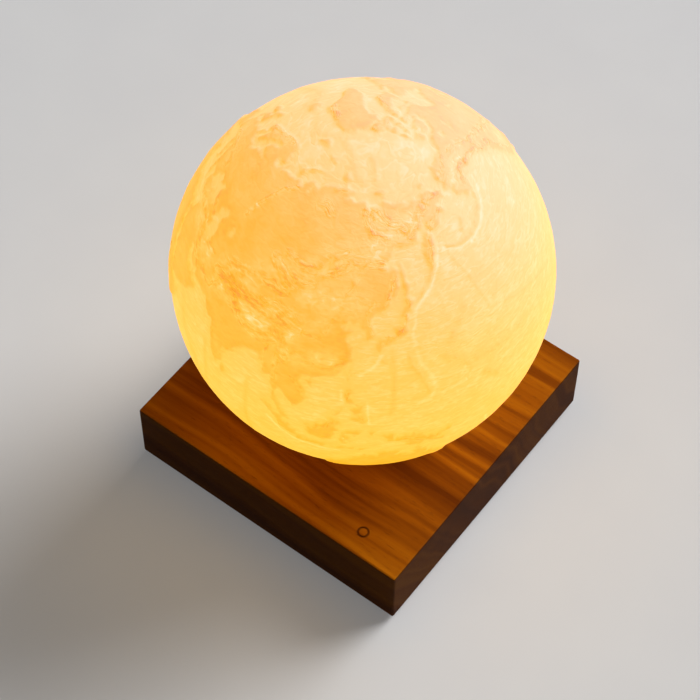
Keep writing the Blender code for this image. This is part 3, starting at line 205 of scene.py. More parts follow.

# Coasts as longitude, latitude, longitude, latitude and so on, in degrees
LAND = {
    "eurasia": (-9, 43, -9.5, 38.7, -8.9, 37, -6.3, 36.8, -5.6, 36, -2, 36.8, -0.3, 38.4, 0, 39.7, 3.2, 41.9,
     3.1, 43.1, 6.5, 43.1, 8.9, 44.4, 10.5, 42.9, 12.3, 41.7, 14.3, 40.7, 15.8, 39.9, 15.9, 38, 17, 39,
     16.9, 40.4, 18.4, 40, 16, 41.6, 14, 42.6, 12.4, 44.3, 12.6, 45.5, 13.8, 45.5, 15.2, 44.3, 17.6, 43,
     19.4, 41.8, 19.4, 40.2, 21, 38.6, 21.6, 37, 22.8, 36.5, 24, 37.8, 22.9, 39.2, 22.8, 40.5, 26, 40.7,
     26.3, 39.4, 27, 37.6, 28, 36.7, 30.6, 36.7, 32.5, 36.1, 34.6, 36.7, 36.1, 36.3, 35.6, 34.2, 34.8, 32,
     34.2, 31.3, 32.4, 31.2, 32.6, 29.9, 34.2, 27.8, 34.9, 29.4, 36.6, 26, 38.6, 23.2, 39.2, 21, 41, 18.6,
     42.7, 15.8, 43.3, 12.8, 45.2, 12.9, 48.6, 14, 52.2, 15.7, 55.2, 17.4, 57.8, 19.2, 59.8, 22.5, 56.8, 24.2,
     56.3, 26.2, 54.3, 24.2, 51.8, 24.2, 51.3, 25.9, 50.1, 26.5, 48.6, 28.6, 48.1, 30, 50.2, 30, 51.4, 27.9,
     54.4, 26.7, 56.9, 27.1, 57.6, 25.7, 61.6, 25.1, 66.4, 25.4, 67.4, 24, 69, 22.4, 70.4, 20.9, 72.3, 21.3,
     72.8, 19, 73.4, 16, 74.8, 13, 76.2, 10, 77.5, 8.1, 78.3, 9.1, 79.8, 10.3, 80.2, 13, 80.2, 15.6,
     82.3, 16.7, 85, 19.5, 87, 21.3, 90.3, 22, 91.8, 22.5, 92.5, 20.6, 94.2, 18.6, 94.4, 16, 97, 16.9,
     97.8, 15, 98.6, 12, 98.4, 8.2, 99.7, 6.5, 100.4, 5, 101.4, 2.8, 103.6, 1.3, 103.4, 4, 102, 6.2,
     100.5, 7.2, 99.3, 9.5, 99.4, 11.3, 100.1, 13.4, 102.3, 12.1, 103.6, 10.6, 105, 8.7, 106.8, 10.3,
     109.2, 11.8, 109, 13.5, 107.5, 16.6, 105.7, 19, 106.8, 20.6, 108.2, 21.6, 109.7, 21.4, 110, 20.4,
     110.7, 21.3, 113.6, 22.2, 116.6, 23, 118.6, 24.6, 120, 26.6, 121.8, 29, 121.8, 31.2, 120.6, 33.3,
     119.3, 35, 120.3, 36.1, 122.5, 37.1, 120.8, 37.8, 118.9, 37.4, 117.7, 38.8, 119.2, 39.4, 121, 40.8,
     121.6, 39, 124, 39.9, 125, 38.2, 126.6, 37.4, 126.4, 34.6, 128, 34.8, 129.4, 35.5, 129.3, 37.2,
     127.6, 39.4, 129.7, 41, 130.8, 42.4, 133, 42.8, 135.6, 44.3, 138.3, 46.6, 140.4, 48.6, 140.6, 51,
     141.4, 53, 139, 54.2, 137, 53.8, 135.4, 54.7, 138, 56.5, 141, 58.3, 143.5, 59.3, 148, 59.5, 151.5, 59,
     155, 59.4, 157, 61.6, 160.2, 61.8, 163.3, 62.5, 163.2, 61, 160.3, 60.6, 157, 58, 155.6, 55.6,
     155.7, 52.2, 156.7, 51, 158.4, 52, 160, 53.3, 162, 55, 163.2, 56.3, 162.9, 57.9, 164, 59.8, 166.4, 60,
     170.4, 60, 172.6, 61.2, 177, 62.4, 179.4, 62.4, 178.8, 63.6, 177.4, 64.7, 180.5, 65.1, 184, 65.3,
     186.6, 64.4, 188, 65.4, 190.2, 66.1, 186, 67, 181, 68.8, 176, 69.8, 170.6, 69.2, 168, 70, 160.8, 69.6,
     159, 70.9, 152, 70.9, 150, 71.6, 143, 72.6, 139.6, 72.2, 138.6, 71.5, 133, 71.6, 129.6, 71, 127.5, 73,
     123.5, 73.2, 118.6, 73.2, 113.5, 73.6, 109.6, 73.6, 113.4, 75.6, 107, 76.6, 104.3, 77.7, 100.5, 76.4,
     93.5, 76.1, 87, 75.1, 81, 73.6, 80.4, 72.1, 75, 72.6, 74.2, 69.6, 72.6, 71.4, 72.9, 72.9, 69, 72.9,
     66.7, 71, 67, 69.5, 64.5, 69.3, 60.6, 69.8, 59, 68.8, 54, 68.3, 47.6, 67.6, 44.2, 66.2, 44, 68.5,
     42.6, 66.6, 40, 64.8, 37, 64, 34.8, 64.8, 33, 66.6, 38, 66.2, 41, 66.9, 40, 67.8, 36, 69, 31.4, 69.8,
     28, 71, 24, 70.9, 19, 69.8, 14.6, 68, 12.5, 66, 10, 64, 5.6, 62.1, 5, 60, 5.8, 58.6, 8, 58.1, 10.5, 59.3,
     11.4, 58.5, 12.8, 56, 14.2, 55.5, 16.3, 56.6, 16.8, 58.6, 18.7, 59.8, 17.3, 61, 17.6, 62.4, 21, 64.6,
     22.3, 65.8, 25.2, 65.2, 24.4, 64.3, 21.4, 62.9, 21.4, 61, 23.2, 59.9, 28, 60.4, 29.8, 59.9, 27, 59.4,
     23.6, 59.2, 24.3, 57.9, 21.8, 57.5, 21, 55.9, 19.8, 54.6, 18.6, 54.6, 14.2, 53.9, 11, 54.1, 10.6, 55.8,
     10.6, 57.6, 8.2, 56.8, 8.6, 54.6, 8.5, 53.6, 5, 53.2, 3.6, 51.4, 1.6, 50.7, 0.1, 49.6, -1.7, 49.6,
     -2, 48.6, -4.7, 48.4, -2.5, 47.4, -1.2, 45.8, -1.5, 43.5, -4, 43.4, -8, 43.7),
    "africa": (32.4, 31.2, 29, 30.9, 25, 31.6, 22, 32.8, 20, 31, 18, 30.5, 15.3, 32.3, 11, 33.4, 10.6, 35.5,
     11, 37, 9.6, 37.3, 3, 36.9, -2, 35.1, -5.4, 35.8, -6.6, 34, -9.7, 31.6, -10, 29.3, -13, 27.7, -15, 25,
     -17, 21, -16.3, 18.6, -16.6, 16, -17.4, 14.7, -16.7, 12.4, -14.8, 10.6, -13.3, 9, -11.5, 6.8, -7.7, 4.4,
     -4, 5.2, -2, 4.8, 1.2, 6, 4.4, 6.3, 6, 4.3, 8.7, 4.6, 9.7, 3.2, 9.4, 0.6, 9, -1.2, 11, -3.8, 12.3, -6,
     13.3, -8.8, 13.8, -11, 12.4, -13.8, 11.8, -17, 13.6, -21.2, 14.6, -24, 15.3, -27, 17, -30, 18.3, -33,
     18.6, -34.3, 20, -34.8, 23, -34, 26, -34, 28.5, -32.7, 31, -30, 32.8, -27.3, 35.4, -24.2, 35.3, -21.8,
     34.8, -19.8, 37, -17.8, 40.5, -15.5, 40.6, -10.6, 39.3, -8, 38.8, -6, 39.6, -4.2, 41.5, -1.9, 44, 1.3,
     47.8, 4.4, 50, 8, 51.2, 11.9, 48.5, 11.2, 44.5, 10.5, 43.2, 11.8, 41.4, 14.2, 39.5, 15.5, 37.4, 18.8,
     37, 21, 35.6, 23.8, 33.8, 27, 32.5, 29.8),
    "north_america": (-168, 65.6, -164, 66.6, -166.6, 68.3, -162, 69.8, -156.6, 71.3, -150, 70.5, -141, 69.6,
     -135.5, 69.2, -129, 70, -124.5, 70, -119, 69.4, -115, 68.2, -108, 67.8, -101, 67.8, -96.5, 68.3,
     -95.4, 70.6, -94.4, 72, -92, 70.6, -90, 68.8, -87, 67.4, -85.4, 69.7, -81.6, 69.2, -82.6, 67, -86, 66.2,
     -87.4, 64.6, -91.5, 63.2, -94.6, 60.5, -94.6, 58.6, -92.4, 57, -88, 56.5, -82.4, 55.1, -82, 52.8,
     -79.6, 51.3, -79, 54.3, -76.8, 56.6, -78.4, 58.8, -77.6, 62.2, -73.7, 62.3, -70, 60.9, -69.4, 58.9,
     -66.4, 58.8, -64.6, 60.2, -61.8, 57.6, -59.6, 55, -55.8, 52.3, -60, 50.2, -66.4, 50.2, -68.8, 48.6,
     -64.4, 48.9, -64.8, 47, -63.6, 45.8, -60.6, 46.2, -63.6, 44.6, -65.8, 43.6, -66.8, 45, -70, 43.6,
     -70.2, 41.8, -73.9, 40.6, -75.4, 37.9, -75.8, 35.4, -77.8, 34, -81.2, 31.8, -80.1, 27, -80.5, 25.2,
     -81.8, 26, -82.8, 28.6, -84.3, 30, -88, 30.3, -89.6, 29.2, -94, 29.6, -97.3, 27.5, -97.8, 22.6, -96, 19,
     -94, 18.2, -91.4, 18.6, -90.4, 21, -87, 21.5, -88, 17.6, -88.4, 15.9, -86, 15.9, -83.2, 15, -83.7, 11.2,
     -82, 9, -79.8, 9.5, -77.4, 8.6, -78, 7.4, -80.3, 7.5, -83, 8.4, -85.7, 10.1, -87.6, 13, -92.2, 14.5,
     -94.6, 16.2, -99.6, 16.8, -105.4, 20, -106, 22.8, -109.3, 25.8, -112.4, 29.4, -114.6, 31.5, -112.8, 28.6,
     -110.6, 24.6, -109.5, 23.1, -112, 24.8, -114.8, 28, -117.2, 32.6, -120.6, 34.5, -122.4, 37.4,
     -124.3, 40.4, -124, 46, -124.6, 48.3, -122.6, 48.8, -127.4, 51, -130.4, 54.6, -133.6, 57.6, -137, 58.8,
     -144, 60, -148.5, 60, -151.8, 59.3, -150.8, 61.1, -154, 59, -158, 56.8, -163, 54.8, -160.6, 56,
     -157.5, 58.7, -162, 58.7, -162, 60, -165.8, 61.7, -164.6, 63.1, -161, 64.2, -165.6, 64.5),
    "south_america": (-77.4, 8.6, -75.5, 10.6, -72, 12.1, -71.4, 10.8, -68.4, 11.2, -62, 10.6, -60, 8.5,
     -57, 6, -51.8, 4.6, -50, 1, -48.4, -0.8, -44.4, -2.6, -40, -2.9, -37, -4.7, -34.9, -7, -35.4, -9.6,
     -38.6, -13, -39.2, -18, -41, -22, -44.5, -23.1, -48.4, -26, -48.8, -28.5, -52.3, -32.5, -54.2, -34.7,
     -58.2, -34, -57, -36.5, -62, -39, -65, -41, -63.8, -42.5, -67.4, -45.8, -66, -48, -69, -51, -68.3, -52.8,
     -65.3, -54.7, -70, -55.2, -74, -52.5, -75.5, -47.5, -73.6, -42, -73.5, -38, -71.6, -33, -71.4, -29,
     -70.3, -23, -70.3, -18.4, -76.2, -13.9, -79.6, -7.6, -81.3, -4.8, -80, -3.3, -80.8, -1.2, -80, 0.8,
     -78.6, 2, -77.3, 4, -77.9, 7),
    "australia": (113.7, -22.6, 114.1, -26.2, 115.7, -31.6, 115, -34.3, 118, -35, 123.6, -33.9, 129, -31.7,
     131.2, -31.5, 134.2, -32.9, 135.8, -34.8, 137.8, -32.8, 138.3, -35.5, 140.5, -38, 143.5, -38.8,
     146.4, -39, 150, -37.4, 151.3, -33.8, 153.1, -30, 153.2, -26, 150.8, -23.2, 148, -20, 146, -18.6,
     145.4, -15, 143.6, -14, 142.5, -10.8, 141.6, -14, 140.8, -17.5, 137.6, -16.2, 135.6, -15, 136.8, -12.2,
     132.6, -11.4, 130.8, -12.5, 129.7, -14.9, 126.2, -14, 122.4, -17.6, 121, -19.6, 117, -20.7),
    "greenland": (-72.5, 78.2, -68.5, 76, -60, 75.9, -55, 72.6, -53.6, 68.6, -53, 66, -51.4, 64, -48.4, 61,
     -44, 59.9, -42.5, 61.8, -39.6, 65.2, -33, 67.4, -25, 69, -22, 71, -20.6, 74, -18.6, 77, -14, 81,
     -22, 82.2, -32, 83.6, -45, 82.4, -60, 82, -65, 80.8, -68, 79.4),
    "ellesmere": (-64, 82.4, -75, 83.1, -90, 81.6, -95, 79.6, -88, 78, -84, 76.6, -79, 76.4, -76, 79),
    "devon": (-80, 75.6, -90, 76.6, -92.4, 74.8, -80, 74.6),
    "baffin": (-62, 66.8, -68, 70, -76, 72.6, -84, 73.6, -89.5, 73.2, -88, 70.8, -80, 70, -74, 68.2,
     -73, 65.4, -77.6, 64.4, -70, 62.6, -65.4, 61.9, -66.4, 63.6, -63, 65),
    "victoria": (-116.5, 69.6, -118, 71.8, -110, 73, -105, 73, -101, 70, -105, 68.9, -113, 68.6),
    "banks": (-125, 72, -123, 74.3, -116.5, 73.2, -121, 71.4),
    "prince_of_wales": (-101.5, 73.6, -96, 74.1, -90.6, 73.8, -93, 72.2, -99.6, 71.6),
    "melville": (-117, 75.4, -110, 76.3, -105.6, 75.6, -112, 74.8),
    "prince_patrick": (-123, 75.9, -119.4, 77.4, -113.4, 77.9, -114, 76.6, -118.8, 76.4),
    "ringnes": (-106, 78.8, -102, 79.4, -98, 78.8, -98, 77.8, -104.6, 77.3),
    "axel_heiberg": (-95.6, 78.6, -95.4, 80.2, -91.8, 81.3, -87.6, 80.4, -87.6, 78.4),
    "bathurst": (-104.6, 75.3, -103.6, 76.4, -98.6, 76.8, -94, 76.4, -96.4, 75.1),
    "somerset": (-96, 72.4, -95.4, 73.9, -90.4, 73.9, -92.4, 72.6),
    "king_william": (-99.4, 68.9, -97.4, 69.8, -95.4, 69, -97, 68.5),
    "southampton": (-87, 63.7, -81, 64, -84.4, 66),
    "newfoundland": (-59.3, 47.8, -56.4, 51.5, -53, 47),
    "cuba": (-84.8, 21.9, -80.6, 23.1, -74.3, 20.2, -78, 20.6),
    "hispaniola": (-74.3, 18.5, -72, 19.8, -68.5, 18.6, -71.2, 17.9),
    "britain": (-5.5, 50.1, -3, 51.3, -5.2, 51.8, -4.4, 53.2, -3, 54, -5, 54.9, -6, 56.6, -5, 58.6,
     -3.2, 58.6, -2, 57.5, -3, 56, -1.5, 54.8, 0.3, 53, 1.7, 52.6, 1.3, 51.2, -2, 50.6),
    "ireland": (-6.2, 52.2, -10, 51.7, -9.8, 54, -7.5, 55.2, -5.6, 54.4),
    "iceland": (-22.5, 63.9, -24, 65.6, -21, 66.3, -16, 66.4, -13.6, 65.1, -18.6, 63.5),
    "svalbard": (11, 79.4, 17, 80.1, 27, 80.1, 21, 78.4, 16.8, 76.7, 13.6, 77.8),
    "franz_josef": (46, 80.6, 54, 81.6, 64, 81, 55, 80),
    "novaya_zemlya": (51.6, 71.6, 54.5, 73.6, 58, 75.6, 68.6, 76.9, 61, 75, 56.6, 73, 57.4, 70.7, 53.6, 70.8),
    "severnaya_zemlya": (95.5, 79, 93, 80.3, 97, 81.2, 105, 79, 101, 78.2),
    "new_siberia": (137.6, 75.6, 142, 76.1, 150.6, 75.2, 143.6, 73.9, 139.6, 74.8),
    "wrangel": (178.8, 71.2, 181, 71.5, 182.6, 71.1, 180, 70.8),
    "sakhalin": (142.7, 54.4, 143.3, 52, 143.1, 49.4, 144.6, 48.9, 143, 46.9, 142, 46, 142, 48.6,
     141.9, 52.6),
    "hokkaido": (141.8, 45.5, 145.2, 44.3, 145.4, 43.3, 143.3, 42, 140.2, 41.5, 141.1, 43.2),
    "honshu": (140.9, 41.4, 142, 39.5, 141, 38.1, 140.8, 35.7, 139.8, 35, 137.3, 34.6, 135.8, 33.5, 135, 34.5,
     131.1, 33.9, 131, 34.5, 133, 35.5, 136, 35.9, 137, 37.4, 138.8, 37.9, 140, 39.9),
    "kyushu": (129.7, 33.3, 131, 33.8, 132, 32.8, 130.8, 31, 130, 32),
    "shikoku": (132.5, 33.5, 134.6, 34.3, 134.2, 33.3, 132.9, 32.8),
    "taiwan": (121.6, 25.2, 120.2, 23.2, 120.8, 22, 121.5, 23.6),
    "hainan": (108.7, 19.2, 110.6, 20.1, 110, 18.4),
    "luzon": (120.6, 18.5, 122.2, 18.4, 121.6, 16, 124.1, 12.9, 122.4, 13.6, 120.7, 13.8, 119.9, 16),
    "visayas": (122, 11.2, 125.2, 12.5, 125.2, 10.2, 123, 9.3),
    "mindanao": (122, 7.2, 123.6, 8.6, 125.6, 9.7, 126.5, 7.2, 125.5, 5.7, 124, 6.5),
    "palawan": (117.2, 8.4, 119.4, 11.2, 119.8, 10.4, 117.8, 8.2),
    "borneo": (109, 1.5, 109.2, -0.6, 110.2, -2.9, 114.5, -4.1, 116.2, -3.6, 117.6, 0.8, 119, 1, 118, 3.8,
     119.2, 5.2, 117, 7, 115, 5, 112.6, 3.1, 111, 1.6),
    "sumatra": (95.3, 5.6, 97.5, 5.2, 100.3, 2.6, 103.7, -1, 106, -3, 105.8, -5.8, 104.4, -5.8, 102, -4,
     100.3, -1, 98.7, 1.7),
    "java": (105.2, -6.8, 106.5, -6, 110.8, -6.4, 114.4, -7.7, 114.4, -8.6, 110, -8.2, 106.5, -7.4),
    "lesser_sunda": (116, -8.3, 119.5, -8.3, 123, -8.3, 122.8, -8.8, 119, -8.8, 116, -8.9),
    "timor": (123.5, -10.3, 125, -9, 127.2, -8.4, 125.4, -9.5),
    "sulawesi": (119.5, -5.5, 118.9, -3, 119.8, 0.8, 121, 1.2, 125, 1.6, 124.3, 0.4, 120.6, 0.3, 120.4, -1,
     121.6, -1, 123.3, -0.8, 121.8, -2, 122.8, -4.2, 121.6, -4.8, 120.8, -2.8, 120.4, -5.5),
    "halmahera": (127.5, 0.8, 128, 2.1, 128.6, 0.8, 128, -0.8),
    "new_guinea": (131, -0.8, 134, -0.8, 135, -3.3, 138, -1.7, 141, -2.6, 145.8, -5, 147.8, -6.6,
     150.7, -10.4, 147, -9.5, 144, -7.7, 142.5, -9.2, 138, -8.3, 138.4, -6.8, 135.5, -4.5, 133, -4,
     132.8, -2.8),
    "new_britain": (148.4, -5.6, 152.2, -4.3, 151.8, -5.4, 149.8, -6.3),
    "new_zealand_north": (172.8, -34.5, 175.6, -36.6, 178.5, -37.7, 177, -39.5, 175.3, -41.6, 173.8, -39.4,
     174.7, -37.6),
    "new_zealand_south": (172.7, -40.5, 174.2, -41.5, 172.7, -43.8, 170.7, -46, 168.5, -46.6, 166.5, -45.8,
     170.5, -43),
    "tasmania": (144.7, -40.8, 148.3, -40.9, 147.8, -43.4, 146, -43.5),
    "madagascar": (49.3, -12, 50.4, -15.8, 47.2, -25, 45, -25.5, 43.4, -22.5, 44.4, -19.9, 44.4, -16.2,
     47, -15.3),
    "sri_lanka": (79.9, 9.7, 81.8, 7.5, 80.6, 6, 79.8, 7.3),
}

INLAND_WATER = {
    "black_sea": (28, 43.4, 30.6, 46.2, 33.4, 46, 33, 44.7, 35.4, 45.1, 37, 46.8, 39, 47.1, 37.4, 45.4,
     39.4, 43.6, 41.5, 42, 41, 41.1, 38, 41, 35, 42, 31.4, 41.2, 28.6, 41.4),
    "caspian": (47.2, 45.2, 51, 46.9, 53, 46.4, 52.6, 45.2, 50.6, 44.5, 52.4, 42, 53.6, 40.4, 53.8, 37.2,
     51, 36.7, 49, 37.6, 49.4, 40.2, 47.6, 42.8),
    "baikal": (103.8, 51.6, 106.4, 52.8, 109.4, 55.6, 110, 55, 108, 52.4, 105.6, 51.5),
    "aral": (58.4, 45, 60.8, 46.5, 61, 44.4, 59, 43.8),
    "superior": (-92, 46.7, -88.6, 48.6, -84.8, 46.8, -88, 46.6),
    "michigan_huron": (-87.6, 42, -87.4, 45, -84.6, 46, -80.4, 45.4, -82, 43.2, -84.6, 45.4, -86.2, 43.4),
    "great_bear": (-124, 66, -120, 66.8, -118, 65.6, -121.6, 65),
    "great_slave": (-116.6, 61, -112, 62.6, -110, 62.6, -113.6, 61),
    "winnipeg": (-99, 53.6, -97, 53.8, -96.6, 50.6),
    "victoria_lake": (31.8, -0.6, 33.8, 0.3, 34, -1.6, 32.4, -2.6),
}

# Mountain belts: half the width in degrees, the height as a share, and then the line along the crest
RANGES = (
    (2.2, 1, 66, 35, 70, 36, 74, 36.3, 78, 35.5),
    (1.8, 1, 72, 35, 76, 33.2, 80, 30.6, 84, 28.7, 88, 28, 92, 28, 96.5, 28.8),
    (1.8, 0.95, 69, 40.4, 74, 41.6, 79, 42.2, 84, 43, 89, 43.5, 94, 43),
    (2, 1, 74, 38.3, 78, 36.3, 82, 36, 87, 36.4, 92, 36, 98, 35.4, 103, 34.4),
    (1.4, 0.85, 88, 38.4, 94, 39, 99, 38.6, 103, 36.8),
    (2.4, 0.8, 96, 31.5, 98.7, 28.4, 100.8, 25),
    (1.9, 0.85, 84, 50.4, 88, 49, 92, 47.4, 97, 45.4),
    (1.6, 0.75, 89, 53.2, 94, 52.6, 99, 51.8, 104, 52),
    (2, 0.6, 95, 48.6, 100, 47.4, 104, 48),
    (1.8, 0.65, 106.5, 51, 113, 52.6, 120, 55.6, 127, 56, 134.5, 55.4),
    (1.6, 0.5, 107, 53.8, 111, 56.6, 117, 58.8),
    (1.5, 0.75, 127, 70.4, 128.4, 66.6, 131, 63.6, 137.4, 62),
    (1.9, 0.85, 135, 69.4, 140.6, 67, 145, 65.4, 150.6, 63.4),
    (1.9, 0.65, 152, 61.4, 158, 63, 163, 65.4, 170, 66.6),
    (1.6, 0.55, 171, 66.8, 178, 67.4, 186, 66.4),
    (1.3, 0.6, 166, 61.2, 171, 62.2, 176.4, 63),
    (1, 0.8, 156.8, 52, 159, 54.6, 161, 57.4, 163.6, 60),
    (2.6, 0.45, 90, 69.2, 95, 69.6, 100, 68),
    (1, 0.45, 95, 74.6, 101, 75.2, 107, 75.4),
    (1, 0.65, 66, 68.4, 61, 65, 59, 60, 58.4, 56, 58.4, 52),
    (0.8, 0.55, 56, 72.6, 58, 74.6, 65, 76.4),
    (1.5, 0.7, 6.6, 60, 10, 62.4, 14, 66, 18, 68.4, 22, 69.4),
    (1.2, 0.8, 6.4, 44.6, 8, 46.2, 12, 46.9, 15, 47.2),
    (1, 0.5, 18, 49.3, 23.5, 48, 26, 46, 23, 45.3),
    (1.1, 0.5, 14.6, 45.4, 18.6, 43.2, 21, 40.6, 22, 38),
    (0.7, 0.45, 8.6, 44.4, 12.6, 43.2, 15.6, 40.6, 16.2, 38.6),
    (0.8, 0.55, -1.6, 43, 2.4, 42.4),
    (1.4, 0.4, -6, 40.2, -3, 37.2),
    (1, 0.85, 38, 44.4, 43, 43, 48, 41),
    (1.6, 0.7, 29, 37, 33, 37.4, 38, 38.4, 44, 38.6, 47, 36.6, 51, 32.4, 56, 28.6),
    (1.1, 0.65, 45, 40, 49, 37.2, 54, 36.6, 60, 36.6),
    (1.8, 0.55, 60, 30, 66, 29.4, 68.6, 32.6),
    (1.3, 0.6, -9, 30.6, -4, 32.4, 3, 35.4, 9, 36),
    (1.2, 0.45, 119, 47, 121, 50, 123.6, 53),
    (1, 0.5, 112, 35.4, 113.8, 38, 116, 40.6),
    (0.9, 0.6, 104.4, 34, 108, 33.8, 111.4, 33.6),
    (2.2, 0.4, 100.5, 27, 104, 27.4, 108, 27, 111, 25.6, 116, 25.8, 118.6, 27.8),
    (1.3, 0.45, 127, 42.4, 129.4, 44.8),
    (1.2, 0.5, 134.4, 44.6, 137, 48, 139, 51),
    (0.9, 0.5, 128.9, 36.4, 128.3, 38.4, 127, 41),
    (0.7, 0.75, 132, 34.9, 136.2, 35.6, 138.2, 36.4, 140, 38.4, 140.8, 40.6),
    (0.8, 0.55, 142.8, 42.4, 143, 44.4),
    (0.4, 0.75, 120.8, 22.6, 121.3, 24.6),
    (0.9, 0.5, 104, 19.6, 106.4, 16.6, 108, 13.4),
    (0.8, 0.55, 94.6, 26.6, 93.6, 22.6, 94.6, 18.4),
    (1.5, 0.5, 98, 24.6, 98.4, 20.4, 98.6, 15.4),
    (0.7, 0.45, 101.4, 5.8, 102, 3.8),
    (0.7, 0.5, 73.7, 19.6, 74.6, 15, 76.6, 11, 77.3, 8.8),
    (0.9, 0.35, 83.6, 19, 80, 15, 78.4, 12),
    (0.8, 0.6, 96, 4.6, 99, 1.4, 101, -1.6, 104, -5),
    (0.5, 0.55, 106.4, -7, 110, -7.3, 114, -8),
    (1.2, 0.55, 111.4, 1.2, 115, 3.2, 116.6, 5.8),
    (0.6, 0.6, 120, -4, 120.2, -1.4, 120.6, 0.8),
    (1.1, 0.95, 134, -3.8, 138, -4.2, 142, -5.2, 146, -6.8, 149, -9.4),
    (0.6, 0.55, 121, 17.8, 121, 15),
    (0.6, 0.5, 125, 8.4, 125.6, 6.6),
    (2.2, 0.75, 36.6, 13.4, 38, 10, 38.6, 7.4),
    (1.3, 0.55, 30, 2, 29.4, -3, 30, -8, 34, -11, 35, -16),
    (1.5, 0.6, 36.4, 1, 36.6, -4),
    (1.2, 0.6, 31, -24, 29.2, -29, 27, -31.6, 21, -33.2),
    (1.1, 0.4, 14.6, -14, 16, -22, 18.6, -29),
    (0.9, 0.45, 9.6, 4.6, 11.6, 7.6),
    (1.3, 0.45, 17.6, 21.6, 18.4, 19.4),
    (1.2, 0.4, 4.6, 24.4, 6.6, 22.6),
    (1.1, 0.5, 36.6, 27, 40, 21.6, 43, 17.6, 44.6, 14),
    (1.2, 0.6, -163, 68, -152, 68, -142, 68.6),
    (1.2, 0.85, -155, 61, -149, 63, -143, 62),
    (1.5, 0.8, -141, 60.4, -135, 59.4, -130, 56.4, -126, 52.4, -122.4, 50),
    (1.5, 0.6, -136, 66, -130, 63.4, -126, 60.4),
    (1.3, 0.8, -124.4, 57.4, -119.4, 54, -116, 51.4, -113.4, 48.4),
    (1.9, 0.8, -113.4, 47.4, -110, 44, -106.4, 40.4, -105.4, 36.4),
    (0.9, 0.7, -121.8, 48.4, -121.8, 43.4, -119.4, 38.4, -118.2, 35.8),
    (1.4, 0.65, -109, 30, -106, 25, -103.4, 21),
    (1, 0.6, -100.4, 25, -98.4, 20.4, -97, 18),
    (0.8, 0.5, -91.6, 15, -87, 13.8, -84, 10),
    (1.1, 0.4, -84.6, 35, -80, 38, -76, 41.2, -71.4, 44.4),
    (1.4, 0.35, -64.4, 59, -67, 55),
    (1.1, 0.55, -63.4, 66.6, -70, 70, -78, 73),
    (1.7, 0.65, -72, 82, -80, 80, -85, 78),
    (1.3, 0.8, -29, 69.6, -26, 71.6, -24, 75),
    (1.3, 0.95, -72.6, 9.4, -74, 5, -77.4, 1, -78.7, -3, -77.4, -9, -73.4, -14, -69.6, -17),
    (1.3, 0.95, -69.6, -17, -67.8, -22, -68.8, -27, -70, -32.4, -71, -38, -72.2, -44, -73, -50),
    (2.6, 0.35, -44, -20, -46, -15, -42, -11),
    (1.6, 0.4, -66, 5, -61, 4.6),
    (1.1, 0.4, 145.4, -16.6, 147.4, -21, 151, -27, 150.4, -31.6, 148.4, -36.4),
    (0.8, 0.35, 131, -23.8, 135, -23.6),
    (0.7, 0.75, 168, -45, 170.4, -43.4, 172.6, -42),
    (0.9, 0.5, 47.6, -15, 47, -19.6, 46.8, -23.4),
)

# Ice cap, in the same form
ICE = (
    (4.6, 0.7, -44, 63, -42, 68, -39, 73, -42, 78),
)

# Plateaus and hilly land, in the same form
PLATEAUS = (
    (6, 0.4, 80, 42, 90, 48, 100, 51, 110, 54, 125, 58, 136, 63, 155, 65),
    (5, 0.45, 76, 36, 88, 35, 100, 34),
    (4.4, 0.4, 36, 38, 48, 35, 60, 33),
    (4.4, 0.3, 6, 46, 16, 48, 24, 46),
    (3.6, 0.35, 8, 61, 20, 67),
    (5.6, 0.72, 70, 35.6, 76, 35, 85, 33.6, 97, 32.4),
    (6, 0.42, 96, 47, 104, 45, 113, 44, 122, 45),
    (6, 0.22, 98, 65, 107, 63, 117, 65),
    (5.5, 0.3, 24, -20, 27, -28, 22, -30),
    (5, 0.5, 140, 64, 150, 62, 160, 66),
    (5, 0.4, 108, 57, 120, 58, 132, 58),
    (4, 0.45, 103, 26, 110, 27, 116, 27),
    (3, 0.35, 102, 38, 108, 37, 112, 39),
    (4, 0.4, -116, 40.4, -110, 37),
    (4, 0.5, -80, 72, -100, 75, -112, 74),
    (4, 0.45, -140, 63, -158, 64),
    (3.4, 0.3, 54, 33, 60, 32),
    (2.4, 0.2, 76, 18, 77, 13),
    (2.2, 0.6, -68.6, -16, -67.4, -21),
    (3.6, 0.2, 44, 22, 46, 25),
)

